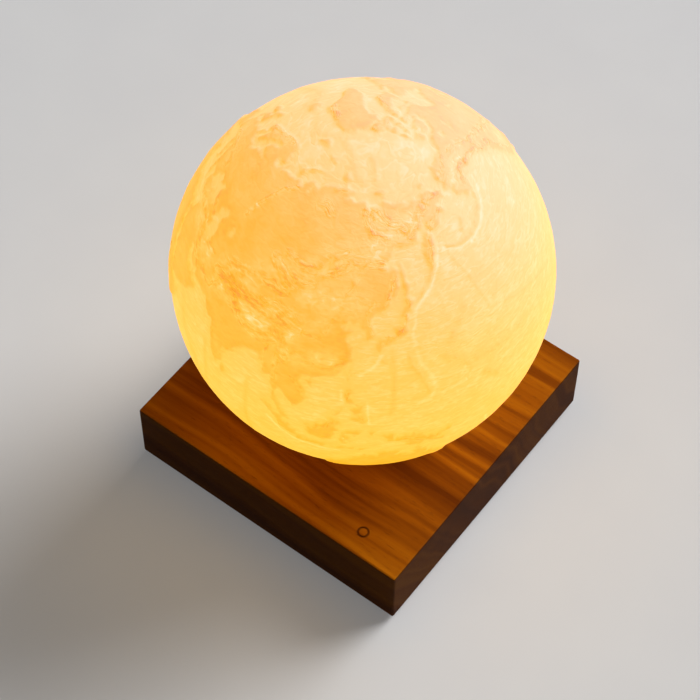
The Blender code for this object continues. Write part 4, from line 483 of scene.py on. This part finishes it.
# On the sea floor, in the same form: mid-ocean ridges and seamounts, long steps, and trenches
SEA_RIDGES = (
    (2, 0.3, -18, 63.4, -27, 60, -31, 56, -30, 51, -28, 45, -30, 39, -36, 35, -43, 30),
    (2, 0.3, -43, 30, -46, 24, -45, 16, -42, 9, -31, 1, -15, -2, -12, -10, -13, -20),
    (2, 0.3, -13, -20, -13.4, -30, -15, -40, -10, -48, 0, -54),
    (1.4, 0.25, -17, 67, -10, 71, 3, 74, 5, 79, -3, 83),
    (1.2, 0.28, 4, 83.4, 40, 86, 80, 85.6, 105, 81.6, 122, 79),
    (1, 0.3, 142, 79, 150, 83, 168, 87),
    (1.8, 0.28, 56, 14, 60, 6, 67, -3, 68, -12, 66, -18, 70, -25, 78, -35, 95, -43),
    (1.8, 0.28, 70, -25, 60, -31, 50, -37, 35, -45, 15, -52),
    (2.2, 0.28, -106, 20, -104, 10, -104, 0, -107, -12, -113, -25, -112, -38, -120, -52),
    (0.7, 0.34, 90, 12, 89, -10, 88, -28),
    (0.8, 0.3, 72, 12, 73, 2, 72, -8),
    (0.6, 0.18, -155, 19.4, -160, 22, -168, 25, -178, 28.4, 172, 31.6),
    (0.6, 0.18, 172, 31.6, 171, 37, 170, 43, 167.4, 50.4),
    (1.3, 0.22, 154, 29, 158, 32.6, 163, 37),
    (1.3, 0.2, 176, 34, 180, 37),
    (1.4, 0.22, 162, 20, 172, 18.6, 180, 19, 188, 18),
    (1.2, 0.24, 152, 25, 157, 22, 160, 17),
    (1.3, 0.3, 164, 13, 168, 9),
    (0.6, 0.36, 140, 29.4, 140.6, 25.6, 144, 19, 145.4, 14.4),
    (0.8, 0.3, 135, 29, 135, 22, 134.6, 15, 133.6, 9),
    (0.7, 0.28, 131.4, 28, 135.4, 26),
    (0.7, 0.5, 168, 53.8, 175, 52.2, 182, 51.8, 190, 52.8, 196, 54.4),
    (0.6, 0.5, 157, 51, 153, 47.6, 148.6, 45, 145.6, 43.9),
    (0.8, 0.36, 180, 54.6, 184, 57),
    (0.8, 0.34, -173, -16, -175.6, -22, -178, -29, 178, -37),
)

SEA_STEPS = (
    (0.5, 0.08, -125, 40.4, -140, 40.2, -156, 39.6, -172, 38),
    (0.5, 0.07, -122, 34, -135, 31.6, -150, 28.2, -162, 25),
    (0.5, 0.07, -118, 25.6, -135, 23.6, -152, 21.4),
    (0.5, 0.07, -112, 18, -130, 17.6, -150, 16, -164, 14.4),
    (0.5, 0.07, -106, 10, -125, 7.6, -145, 4.6, -160, 2),
    (0.5, 0.06, -130, 45.4, -146, 47.4, -160, 48.6),
    (0.6, 0.07, 180, 44, 172, 41, 163, 39),
    (0.6, 0.06, 178, 50, 186, 42, 192, 36),
    (0.5, 0.07, -30, 39, -20, 38),
    (0.5, 0.07, -35, 52.6, -25, 52.4),
    (0.5, 0.06, -45, 15.4, -36, 15),
    (0.5, 0.07, -31, 1, -14, 0.4),
)

TRENCHES = (
    (0.5, 0.34, -149, 58, -155, 55.6, -163, 53, -172, 50.9, 180, 50.5, 172, 51.6, 166, 53.9),
    (0.5, 0.34, 163, 54.6, 159, 50.6, 154, 46.6, 149, 43.9, 145, 41.4),
    (0.5, 0.22, 145, 41.4, 144, 38, 142.4, 34.4),
    (0.6, 0.17, 142.4, 34.4, 143, 29.4, 143.3, 26, 146.6, 20.4, 147.6, 16, 145.4, 12, 141.6, 11),
    (0.5, 0.26, 131.6, 29.6, 128.4, 25.8, 124.4, 23.4),
    (0.4, 0.34, 126.8, 13.4, 127, 9, 127.4, 5),
    (0.4, 0.35, 119, 18, 119.3, 14.4),
    (0.42, 0.34, 97, -1, 101, -6, 106, -9.6, 113, -11, 119, -11.4),
    (0.4, 0.34, -172.4, -15.4, -174, -21, -176.4, -27, -178.4, -33),
    (0.45, 0.4, 165.4, -11.4, 167, -17, 170, -22),
    (0.4, 0.34, -81.6, -4, -79, -12, -74, -17.4, -71.4, -23, -72.4, -30, -74.6, -38, -76, -44),
    (0.45, 0.4, -105.4, 18.4, -98, 15.4, -92, 13, -87, 11),
    (0.45, 0.35, -68, 19.9, -62, 18.6, -59, 14),
)


def place_camera():
    """Set the camera where the photograph was taken from."""
    camera = bpy.data.objects.new("camera", bpy.data.cameras.new("camera"))
    camera.data.lens = CAMERA_LENS
    matrix = Matrix.Translation(CAMERA_TARGET)
    for turn, axis in ((CAMERA_AZIMUTH, 'Z'), (90 - CAMERA_ELEVATION, 'X'), (CAMERA_ROLL, 'Z')):
        matrix = matrix @ Matrix.Rotation(radians(turn), 4, axis)
    camera.matrix_world = matrix @ Matrix.Translation((0, 0, CAMERA_DISTANCE))
    bpy.context.collection.objects.link(camera)
    bpy.context.scene.camera = camera


def place_lamp(name, watts, size, place):
    """Hang a square soft lamp that faces the middle of the object."""
    data = bpy.data.lights.new(name, 'AREA')
    data.energy, data.size, data.spread = watts, size, radians(LAMP_SPREAD)
    lamp = bpy.data.objects.new(name, data)
    lamp.location = place
    lamp.rotation_euler = (Vector(place) - Vector((0, 0, CENTRE_HEIGHT))).to_track_quat('Z', 'Y').to_euler()
    bpy.context.collection.objects.link(lamp)


class Nodes:
    """Short ways to add nodes to a tree."""

    def __init__(self, tree):
        self.tree = tree

    def feed(self, socket, value):
        """Link a socket to a node's output, or set it to a value."""
        if isinstance(value, bpy.types.NodeSocket):
            self.tree.links.new(value, socket)
        else:
            socket.default_value = (*value, 1) if socket.type == 'RGBA' else value

    def node(self, kind, *values, **settings):
        """Add a node with its settings and its first inputs."""
        new = self.tree.nodes.new(kind)
        for name, value in settings.items():
            setattr(new, name, value)
        for socket, value in zip(new.inputs, values):
            self.feed(socket, value)
        return new

    def math(self, operation, *values):
        """Sum, product or other operation on numbers."""
        return self.node("ShaderNodeMath", *values, operation=operation).outputs[0]

    def seen(self):
        """One where the camera, a gloss or clear glass sees the surface, and zero where it lights another."""
        rays = self.node("ShaderNodeLightPath").outputs
        shown = self.math('MAXIMUM', rays["Is Camera Ray"], rays["Is Glossy Ray"])
        return self.math('MAXIMUM', shown, rays["Is Transmission Ray"])


class Look(Nodes):
    """A procedural material around one Principled shader."""

    def __init__(self, name, sockets):
        self.material = bpy.data.materials.new(name)
        self.material.use_nodes = True
        super().__init__(self.material.node_tree)
        self.coordinates = self.node("ShaderNodeTexCoord").outputs
        self.place = self.coordinates["Object"]
        self.set(sockets)

    def set(self, sockets):
        """Set sockets of the shader by their names."""
        for name, value in sockets.items():
            self.feed(self.tree.nodes["Principled BSDF"].inputs[name], value)

    def surface(self, colour, roughness, height, depth):
        """Set colour, roughness and a bump of depth metres where height is one, and return the material."""
        bump = self.node("ShaderNodeBump")
        for name, value in (("Strength", 1.0), ("Distance", depth), ("Height", height)):
            self.feed(bump.inputs[name], value)
        self.set({"Base Color": colour, "Roughness": roughness, "Normal": bump.outputs[0]})
        return self.material

    def vector(self, operation, *values):
        """Operation on vectors."""
        new = self.node("ShaderNodeVectorMath", *values, operation=operation)
        return new.outputs[1 if operation in ('LENGTH', 'DISTANCE') else 0]

    def split(self, vector):
        """The three numbers of a vector."""
        return self.node("ShaderNodeSeparateXYZ", vector).outputs

    def join(self, *numbers):
        """A vector of three numbers."""
        return self.node("ShaderNodeCombineXYZ", *numbers).outputs[0]

    def step(self, value, low, high, start=0.0, end=1.0):
        """Smooth step from start to end as a value goes from low to high."""
        return self.node(
            "ShaderNodeMapRange", value, low, high, start, end, interpolation_type='SMOOTHSTEP').outputs[0]

    def noise(self, size, detail=3.0, stretch=(1, 1, 1), around=None, distortion=0.0):
        """Noise of about 0 to 1 with lumps of a size in metres, longer along the stretched axes."""
        new = self.node(
            "ShaderNodeTexNoise",
            self.vector('DIVIDE', around or self.place, tuple(size * factor for factor in stretch)))
        for name, number in (("Scale", 1.0), ("Detail", detail), ("Distortion", distortion)):
            new.inputs[name].default_value = number
        return new.outputs[0]

    def centred(self, size, detail=3.0, **settings):
        """Noise about zero."""
        return self.math('SUBTRACT', self.noise(size, detail, **settings), 0.5)

    def total(self, *parts):
        """Sum of parts, each the product of one value or more and a weight."""
        result = 0.0
        for value, *others, weight in parts:
            for other in others:
                value = self.math('MULTIPLY', value, other)
            result = self.math('MULTIPLY_ADD', value, weight, result)
        return result

    def line(self, value, place, width):
        """Thin lines, one where the value is at place, and zero further than width from there."""
        return self.step(self.math('ABSOLUTE', self.math('SUBTRACT', value, place)), 0.0, width, 1.0, 0.0)

    def folds(self, value, width):
        """Creases: thin valleys of minus one, each beside a thin crest of one."""
        return self.math('SUBTRACT', self.line(value, 0.5 + width * 1.5, width), self.line(value, 0.5, width))

    def ramp(self, value, stops):
        """Colour by value, from pairs of a position and a colour."""
        new = self.node("ShaderNodeValToRGB", value)
        elements = new.color_ramp.elements
        while len(elements) < len(stops):
            elements.new(0.5)
        for element, (position, colour) in zip(elements, stops):
            element.position, element.color = position, (*colour, 1)
        return new.outputs[0]

    def tones(self, value, low, high):
        """Colour between two, by a value that stays about one half."""
        return self.ramp(value, ((0.3, low), (0.7, high)))

    def blend(self, factor, first, second):
        """Mix of two numbers."""
        new = self.node("ShaderNodeMix", factor, data_type='FLOAT')
        for socket, number in zip(new.inputs[2:], (first, second)):
            self.feed(socket, number)
        return new.outputs[0]

    def mix(self, factor, first, second, kind='MIX'):
        """Mix of two colours."""
        new = self.node("ShaderNodeMix", factor, data_type='RGBA', blend_type=kind)
        for socket, colour in zip(new.inputs[6:], (first, second)):
            self.feed(socket, colour)
        return new.outputs[2]


def walnut():
    """Oiled walnut cut along the grain, which runs along X, with the growth rings' centre below the front."""
    look = Look("walnut", {"Specular IOR Level": 0.02})
    y, z = look.split(look.place)[1:]
    across = look.total((y, 1), (look.noise(WAVE, 2.0, stretch=(3, 1, 1)), RING_BEND), (1.0, -RING_AXIS[0]))
    radius = look.vector('LENGTH', look.join(0.0, across, look.math('SUBTRACT', z, RING_AXIS[1])))
    rings = look.node("ShaderNodeTexNoise", noise_dimensions='1D')
    look.feed(rings.inputs["W"], look.math('DIVIDE', radius, RING_PITCH))
    rings.inputs["Detail"].default_value = 2.0
    clouds = look.noise(CLOUD, 2.0, stretch=(4, 1, 1))
    strands = look.noise(STRAND, stretch=(22, 1, 1))
    fibres = look.noise(FIBRE, stretch=(45, 1, 1))
    pores = look.step(look.noise(PORE, 1.0, stretch=(14, 1, 1)), 0.66, 0.74)
    # The dark band in this sum is partly painted shade under the globe
    grain = look.total(
        (rings.outputs[0], 0.46), (clouds, 0.30), (look.line(radius, *DARK_BAND), -0.09),
        (look.line(radius, *PALE_BAND), 0.14), (1.0, 0.035), (strands, 0.12), (fibres, 0.06))
    # Painted shade: upright faces, which are the block's sides, are mixed most of the way to a dark colour,
    # so they read darker than the top
    upright = look.step(look.math('ABSOLUTE', look.split(look.coordinates["Normal"])[2]), 0.3, 0.8, 0.83, 0.0)
    gap = look.math('SUBTRACT', look.vector('DISTANCE', look.place, MARK_CENTRE), MARK_RADIUS)
    burnt = look.step(look.math('ABSOLUTE', gap), *MARK_FADE, 1.0, 0.0)
    colour = look.mix(look.total((pores, 0.35)), look.ramp(grain, WALNUT), OPEN_PORE)
    colour = look.mix(look.total((burnt, 0.55)), look.mix(upright, colour, PAINTED_SIDE_SHADE), BURNT)
    roughness = look.step(look.total((fibres, 1), (pores, 0.5)), 0.2, 1.2, 0.5, 0.68)
    return look.surface(colour, roughness, look.total((fibres, 0.5), (pores, -1), (burnt, -1)), depth=0.00008)


def glowing_relief():
    """Printed plastic lit from within: the thicker it is, the deeper the orange."""
    look = Look("globe_plastic", {"Specular IOR Level": 0.2, "Emission Strength": 1.0})
    shore, belt, hills, across, along, sea_line = (
        look.node("ShaderNodeAttribute", attribute_name=name).outputs["Fac"] for name in FIELDS)
    land = look.step(look.total((shore, 1), (look.centred(SPECK, 5.0), 2.6)), -0.6, 0.6)
    across = look.total((across, 1), (look.centred(WANDER), 3.0))
    course = look.join(across, look.total((along, 0.16)), 0.0)
    folds = look.folds(look.noise(1.0, 2.5, around=course), 0.085)
    streaks = look.centred(STREAK, 2.0, stretch=(2.6, 2.6, 1), distortion=0.8)
    hill_folds = look.folds(look.noise(FOLD, 2.5, stretch=(1.3, 1.3, 0.42), distortion=0.3), 0.08)
    ranges = look.step(belt, 0.12, 0.6)
    hilly = look.step(look.math('MAXIMUM', belt, hills), 0.08, 0.6)
    high = look.step(hills, 0.45, 0.7)
    low = look.centred(BLOTCH)
    land_lines = look.total(
        (folds, ranges, 0.15), (hill_folds, hilly, 0.08), (streaks, hilly, 0.70), (streaks, 0.3))
    land_depth = look.total(
        (land_lines, 1), (low, 0.4), (hilly, -0.30), (high, 0.17), (ranges, 0.31),
        (look.step(shore, 0.2, 1.0), look.step(shore, 3.0, 1.4), 0.06), (1.0, 0.53))
    wrinkles = look.folds(look.noise(FOLD, 2.5, stretch=(2.2, 2.2, 0.36), distortion=0.4), 0.06)
    shelf = look.step(shore, -4.5, 0.0)
    sea_lines = look.total((sea_line, 0.4), (wrinkles, 0.05), (streaks, 0.20))
    sea_depth = look.total((sea_lines, 1), (shelf, shelf, 0.05), (low, 0.16), (1.0, 0.24))
    # Painted light: by height, the tint of the glow and the base colour make the globe paler and bluer
    # towards the top and deeper orange towards the bottom
    upward = look.step(look.split(look.place)[2], CENTRE_HEIGHT - SEA_RADIUS, CENTRE_HEIGHT + SEA_RADIUS)
    glow = look.ramp(look.blend(land, sea_depth, land_depth), GLOW)
    look.set({"Emission Color": look.mix(1.0, glow, look.ramp(upward, PAINTED_LIGHT_TINT), 'MULTIPLY')})
    return look.surface(look.ramp(upward, BASE_WITH_PAINTED_LIGHT), 0.62, look.blend(land, sea_lines, land_lines), depth=0.0007)


def plastic(name, colour, roughness, grain=GRAIN):
    """Moulded plastic or rubber with a fine grain."""
    look = Look(name, {"Specular IOR Level": 0.4})
    speckle = look.noise(grain)
    return look.surface(
        look.tones(look.noise(PLASTIC_CLOUD, 2.0), tuple(part * 0.78 for part in colour), colour),
        look.step(speckle, 0.3, 0.7, roughness - 0.06, roughness + 0.06), speckle, depth=grain * 0.05)


def metal(name, colour, roughness):
    """Metal with fine marks of its making and faint stains."""
    look = Look(name, {"Metallic": 1.0})
    marks = look.noise(METAL_MARK, 2.0, stretch=(1, 1, 12))
    return look.surface(
        look.tones(look.noise(METAL_STAIN), tuple(part * 0.7 for part in colour), colour),
        look.step(marks, 0.25, 0.75, roughness - 0.08, roughness + 0.12), marks, depth=0.00001)


def copper(name, centre, flat):
    """Lacquered copper wire wound about an upright axis: turns side by side, or stacked if not flat."""
    look = Look(name, {"Metallic": 1.0, "Coat Weight": 0.5, "Coat Roughness": 0.15})
    x, y, z = look.split(look.vector('SUBTRACT', look.place, (*centre, 0)))
    out = look.vector('LENGTH', look.join(x, y, 0.0))
    counted = out if flat else look.math('ADD', out, z)
    turn = look.math('ABSOLUTE', look.math('SINE', look.math('MULTIPLY', counted, pi / WIRE_PITCH)))
    # Painted shade: the colour darkens into the grooves between turns, times a faint random tone
    shade = look.math('MULTIPLY', turn, look.step(look.noise(WIRE_CLOUD, 2.0), 0.2, 0.8, 0.75, 1.0))
    roughness = look.step(turn, 0.0, 1.0, 0.5, 0.28)
    return look.surface(look.ramp(shade, COPPER), roughness, turn, depth=WIRE_PITCH * 0.4)


def circuit_board():
    """Green solder mask over copper tracks."""
    look = Look("circuit_board", {"Specular IOR Level": 0.5, "Coat Weight": 0.4, "Coat Roughness": 0.2})
    cells = look.node(
        "ShaderNodeTexVoronoi", look.vector('DIVIDE', look.place, (TRACK_CELL,) * 3),
        feature='DISTANCE_TO_EDGE')
    cells.inputs["Scale"].default_value = 1.0
    track = look.step(cells.outputs["Distance"], 0.06, 0.10, 1.0, 0.0)
    cloud = look.noise(MASK_CLOUD)
    mask = look.tones(cloud, (0.008, 0.075, 0.030), (0.012, 0.11, 0.045))
    colour = look.mix(track, mask, (0.025, 0.19, 0.075))
    return look.surface(colour, look.step(cloud, 0.2, 0.8, 0.25, 0.4), track, depth=0.00003)


def capacitor(top):
    """Dark sleeve of a can capacitor with its bare top."""
    look = Look("capacitor_sleeve", {"Specular IOR Level": 0.5})
    bare = look.step(look.split(look.place)[2], *(top - below for below in SLEEVE_END))
    speckle = look.noise(SLEEVE_SPECKLE)
    sleeve = look.tones(speckle, (0.012, 0.014, 0.03), (0.02, 0.022, 0.045))
    look.set({"Metallic": bare})
    colour = look.mix(bare, sleeve, (0.62, 0.62, 0.64))
    return look.surface(colour, look.step(speckle, 0.2, 0.8, 0.28, 0.42), speckle, depth=0.00001)


def phosphor():
    """Yellow phosphor of a lit lamp chip."""
    look = Look("led_phosphor", {"Roughness": 0.4, "Emission Strength": 4.0})
    speckle = look.noise(PHOSPHOR_SPECKLE, 2.0)
    look.set({
        "Base Color": look.tones(speckle, (0.72, 0.5, 0.06), (0.85, 0.65, 0.12)),
        "Emission Color": look.tones(speckle, (1.0, 0.55, 0.15), (1.0, 0.68, 0.28))})
    return look.material


def pale_floor():
    """Plain pale ground with the faintest mottling, which fades into the backdrop far from the lamp."""
    look = Look("pale_floor", {"Roughness": 0.9, "Specular IOR Level": 0.1, "Emission Color": (1, 1, 1)})
    glow = look.step(look.vector('LENGTH', look.place), *FLOOR_FADE, FLOOR_GLOW, FAR_FLOOR_GLOW)
    mottle = look.ramp(look.noise(FLOOR_CLOUD, 2.0), ((0.2, (0.61, 0.61, 0.62)), (0.8, (0.64, 0.64, 0.645))))
    look.set({"Emission Strength": look.math('MULTIPLY', look.seen(), glow), "Base Color": mottle})
    return look.material


def set_world():
    """Even pale light from all around, with a paler backdrop where the camera or a gloss sees it."""
    world = bpy.data.worlds.new("studio")
    bpy.context.scene.world = world
    world.use_nodes = True
    world.node_tree.nodes.clear()
    nodes = Nodes(world.node_tree)
    levels = (AMBIENT_LEVEL, BACKDROP_LEVEL)
    skies = [nodes.node("ShaderNodeBackground", (1, 1, 1), level).outputs[0] for level in levels]
    nodes.node("ShaderNodeOutputWorld", nodes.node("ShaderNodeMixShader", nodes.seen(), *skies).outputs[0])


def places(numbers):
    """Pairs of longitude and latitude out of a row of numbers."""
    return list(zip(numbers[::2], numbers[1::2]))


def neighbours(ring):
    """Each corner of a closed ring with the next one."""
    return zip(ring, ring[1:] + ring[:1])


def on_ball(line):
    """Directions on the globe of places given as (longitude, latitude) in degrees."""
    east, north = np.radians(np.array(line, float)).T
    east = east + radians(PRIME_MERIDIAN)
    return np.stack((np.cos(east) * np.cos(north), np.sin(east) * np.cos(north), np.sin(north)), axis=1)


def dense(line, step):
    """Places along a line, at most about step degrees apart."""
    found = []
    for (west, south), (east, north) in zip(line, line[1:]):
        width = (east - west + 180) % 360 - 180
        reach = sqrt((width * cos(radians((south + north) / 2))) ** 2 + (north - south) ** 2)
        count = max(1, round(reach / step))
        found += [(west + width * i / count, south + (north - south) * i / count) for i in range(count)]
    return found + [line[-1]]


def inside(longitude, latitude, outline):
    """Which places lie inside an outline, whose longitudes may run past 180 degrees."""
    (west, south), (east, north) = np.min(outline, axis=0), np.max(outline, axis=0)
    longitude = west + (longitude - west) % 360
    near = np.flatnonzero((longitude < east) & (latitude > south) & (latitude < north))
    x, y = longitude[near], latitude[near]
    odd = np.zeros(len(near), bool)
    for (x0, y0), (x1, y1) in neighbours(outline):
        if y0 != y1:
            odd ^= ((y0 > y) != (y1 > y)) & (x < x0 + (y - y0) * (x1 - x0) / (y1 - y0))
    return near[odd]


def swell(points, size, octaves, seed):
    """Smooth noise of about -1 to 1 over the ball, with lumps of a size in degrees."""
    shift = Vector((seed, seed, seed))
    return np.array([
        noise.fractal(Vector(point) + shift, NOISE_FADE, NOISE_STEP, octaves)
        for point in (points / radians(size)).tolist()])


def coast_distance(points):
    """Signed distance to the coast in degrees, above zero on land."""
    longitude = np.degrees(np.arctan2(points[:, 1], points[:, 0])) - PRIME_MERIDIAN
    longitude = (longitude + 180) % 360 - 180
    latitude = np.degrees(np.arcsin(points[:, 2]))
    land, marks = np.zeros(len(points), bool), []
    for outlines, dry in ((LAND, True), (INLAND_WATER, False)):
        for outline in map(places, outlines.values()):
            land[inside(longitude, latitude, outline)] = dry
            marks += dense([*outline, outline[0]], SAMPLE_STEP)
    tree = KDTree(len(marks))
    for index, mark in enumerate(on_ball(marks).tolist()):
        tree.insert(mark, index)
    tree.balance()
    distance = np.degrees([tree.find(point)[2] for point in points.tolist()])
    return np.where(land, distance, -distance)


def belts(points, lines):
    """Height of the belts around lines, and how far across and along the highest one the points lie."""
    height, across, along = np.zeros(len(points)), np.full(len(points), FAR), np.zeros(len(points))
    for number, (width, share, *line) in enumerate(lines):
        gap, side, course = np.full((3, len(points)), FAR)
        passed = number * FAR
        ends = on_ball(dense(places(line), BELT_STEP))
        for start, end in zip(ends[:-1], ends[1:]):
            stretch = end - start
            length = np.linalg.norm(stretch)
            reach = radians(width * BELT_REACH) + length / 2
            near = np.flatnonzero(points @ (start + end) > 2 * cos(reach))
            part = np.clip((points[near] - start) @ stretch / length ** 2, 0, 1)
            away = np.degrees(np.linalg.norm(points[near] - start - part[:, None] * stretch, axis=1))
            closer = away < gap[near]
            near, part, away = near[closer], part[closer], away[closer]
            gap[near], side[near] = away, away * np.sign(points[near] @ np.cross(start, end))
            course[near] = passed + part * np.degrees(length)
            passed += np.degrees(length)
        rise = share * np.exp(-(gap / width) ** 2)
        higher = rise > height
        height[higher], across[higher], along[higher] = rise[higher], side[higher], course[higher]
    return height, across, along


def relief(points):
    """Height over the sea at points on the ball, and the numbers of FIELDS there."""
    coast = coast_distance(points) + COAST_WANDER * swell(points, *COAST_NOISE)
    land = np.clip(coast / COAST_WIDTH + 0.5, 0, 1)
    land = land * land * (3 - 2 * land)
    belt, across, along = belts(points, RANGES)
    hills, ice, sea_ridges, steps, trenches = (
        belts(points, lines)[0] for lines in (PLATEAUS, ICE, SEA_RIDGES, SEA_STEPS, TRENCHES))
    ridged = np.clip(1 - RIDGE_SHARPNESS * np.abs(swell(points, *RIDGE_NOISE)), 0, 1)
    mountains = RANGE_RISE * np.maximum(
        belt * (1 - RIDGE_SHARE + RIDGE_SHARE * ridged), HILL_SHARE * np.maximum(hills, ice))
    lowland = LOWLAND_RISE + LOWLAND_SWELL * swell(points, *LOWLAND_NOISE)
    sea_line = sea_ridges * SEA_RIDGE_SHARE * (1 + ridged) + steps - trenches
    shelf = SHELF_RISE * np.exp(np.minimum(coast, 0) / SHELF_WIDTH)
    sea = shelf + SEA_LINE_RISE * sea_line + SEA_SWELL * swell(points, *SEA_NOISE)
    return land * (lowland + mountains) + (1 - land) * sea, coast, belt, hills, across, along, sea_line


def fine_globe(material):
    """The globe's shell with its full relief."""
    bm = bmesh.new()
    bmesh.ops.create_icosphere(bm, subdivisions=SUBDIVISIONS, radius=1)
    mesh = bpy.data.meshes.new("globe_surface")
    bm.to_mesh(mesh)
    bm.clear()
    points = np.empty(len(mesh.vertices) * 3)
    mesh.vertices.foreach_get("co", points)
    points = points.reshape(-1, 3)
    height, *fields = relief(points)
    placed = points * (SEA_RADIUS + height)[:, None] + (0, 0, CENTRE_HEIGHT)
    mesh.vertices.foreach_set("co", placed.ravel())
    for name, values in zip(FIELDS, fields):
        mesh.attributes.new(name, 'FLOAT', 'POINT').data.foreach_set("value", values)
    bm.from_mesh(mesh)
    bmesh.ops.bisect_plane(
        bm, geom=bm.verts[:] + bm.edges[:] + bm.faces[:], plane_co=(0, 0, FLAT_HEIGHT), plane_no=(0, 0, -1),
        clear_outer=True)
    ball = set(bm.faces)
    close_ball(bm)
    bmesh.ops.recalc_face_normals(bm, faces=bm.faces[:])
    for face in bm.faces:
        face.smooth = True
        if face not in ball:
            for side in face.edges:
                side.smooth = side.calc_face_angle(0) < radians(SHARP_EDGE)
    bm.to_mesh(mesh)
    bm.free()
    globe = bpy.data.objects.new("globe_surface", mesh)
    bpy.context.collection.objects.link(globe)
    mesh.materials.append(material)
    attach(globe, "globe")
    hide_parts("globe_shell")


def close_ball(bm):
    """Close the cut ball with its flat rim, the cap's seat, the ledge with its holes, and the hollow."""
    edge = {corner for side in bm.edges if side.is_boundary for corner in side.verts}
    ring = sorted(edge, key=lambda corner: atan2(corner.co.y, corner.co.x))
    turns = [atan2(corner.co.y, corner.co.x) for corner in ring]
    seat = wall(bm, ring, turns, ((SEAT_RADIUS, FLAT_HEIGHT), (SEAT_RADIUS, LEDGE_BOTTOM)))
    ring = circle(bm, turns, LEDGE_INNER_RADIUS, LEDGE_BOTTOM)
    edges = [bm.edges.get(pair) for pair in neighbours(seat)]
    edges += [bm.edges.new(pair) for pair in neighbours(ring)]
    hole_turns = [2 * pi * i / PILOT_SIDES for i in range(PILOT_SIDES)]
    for turn in PILOT_TURNS:
        centre = (PILOT_ORBIT * cos(radians(turn)), PILOT_ORBIT * sin(radians(turn)))
        mouth = circle(bm, hole_turns, PILOT_RADIUS, LEDGE_BOTTOM, centre)
        edges += [bm.edges.new(pair) for pair in neighbours(mouth)]
        bm.faces.new(wall(bm, mouth, hole_turns, ((PILOT_RADIUS, PILOT_TOP),), centre))
    bmesh.ops.triangle_fill(bm, use_beauty=True, edges=edges)
    inner = SEA_RADIUS - WALL
    first = acos((LEDGE_TOP - CENTRE_HEIGHT) / inner)
    slopes = [first * (1 - i / CAVITY_STEPS) for i in range(CAVITY_STEPS)]
    hollow = [(inner * sin(slope), CENTRE_HEIGHT + inner * cos(slope)) for slope in slopes]
    ring = wall(bm, ring, turns, ((LEDGE_INNER_RADIUS, LEDGE_TOP), *hollow))
    top = bm.verts.new((0, 0, CENTRE_HEIGHT + inner))
    for pair in neighbours(ring):
        bm.faces.new((*pair, top))


def circle(bm, turns, radius, height, centre=(0, 0)):
    """Corners around an upright axis at the given turns."""
    x, y = centre
    return [bm.verts.new((x + radius * cos(turn), y + radius * sin(turn), height)) for turn in turns]


def wall(bm, ring, turns, profile, centre=(0, 0)):
    """Faces from a ring of corners through the rings of a profile, and the last ring."""
    for radius, height in profile:
        further = circle(bm, turns, radius, height, centre)
        for i in range(len(ring)):
            bm.faces.new((ring[i - 1], ring[i], further[i], further[i - 1]))
        ring = further
    return ring


bpy.context.scene.view_settings.view_transform = 'Standard'
for old in list(bpy.data.objects):
    bpy.data.objects.remove(old, do_unlink=True)
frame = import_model()
cad_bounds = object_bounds()

place_camera()
set_world()
for name, settings in LAMPS.items():
    place_lamp(name, *settings)

bpy.ops.mesh.primitive_plane_add(size=FLOOR_SIZE, location=(0, 0, cad_bounds[0][2]))
floor = bpy.context.object
floor.name = "floor"
floor.data.materials.append(pale_floor())

looks = {
    "walnut": walnut(), "printed_plastic": glowing_relief(), "circuit_board": circuit_board(),
    "led_phosphor": phosphor()}
for make, table in ((plastic, PLASTICS), (metal, METALS)):
    looks.update({name: make(name, *values) for name, values in table.items()})

fine_globe(looks["printed_plastic"])

for name in frame["nodes"]:
    piece = bpy.data.objects[name]
    low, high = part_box(name)
    slot = piece.material_slots[0].material.name.split(".")[0]
    if slot == "copper_wire":
        centre = tuple((low[i] + high[i]) / 2 for i in range(2))
        look = copper(name + "_wire", centre, flat="winding" not in name)
    elif slot == "capacitor_sleeve":
        look = capacitor(high[2])
    else:
        look = looks[slot]
    piece.material_slots[0].material = look
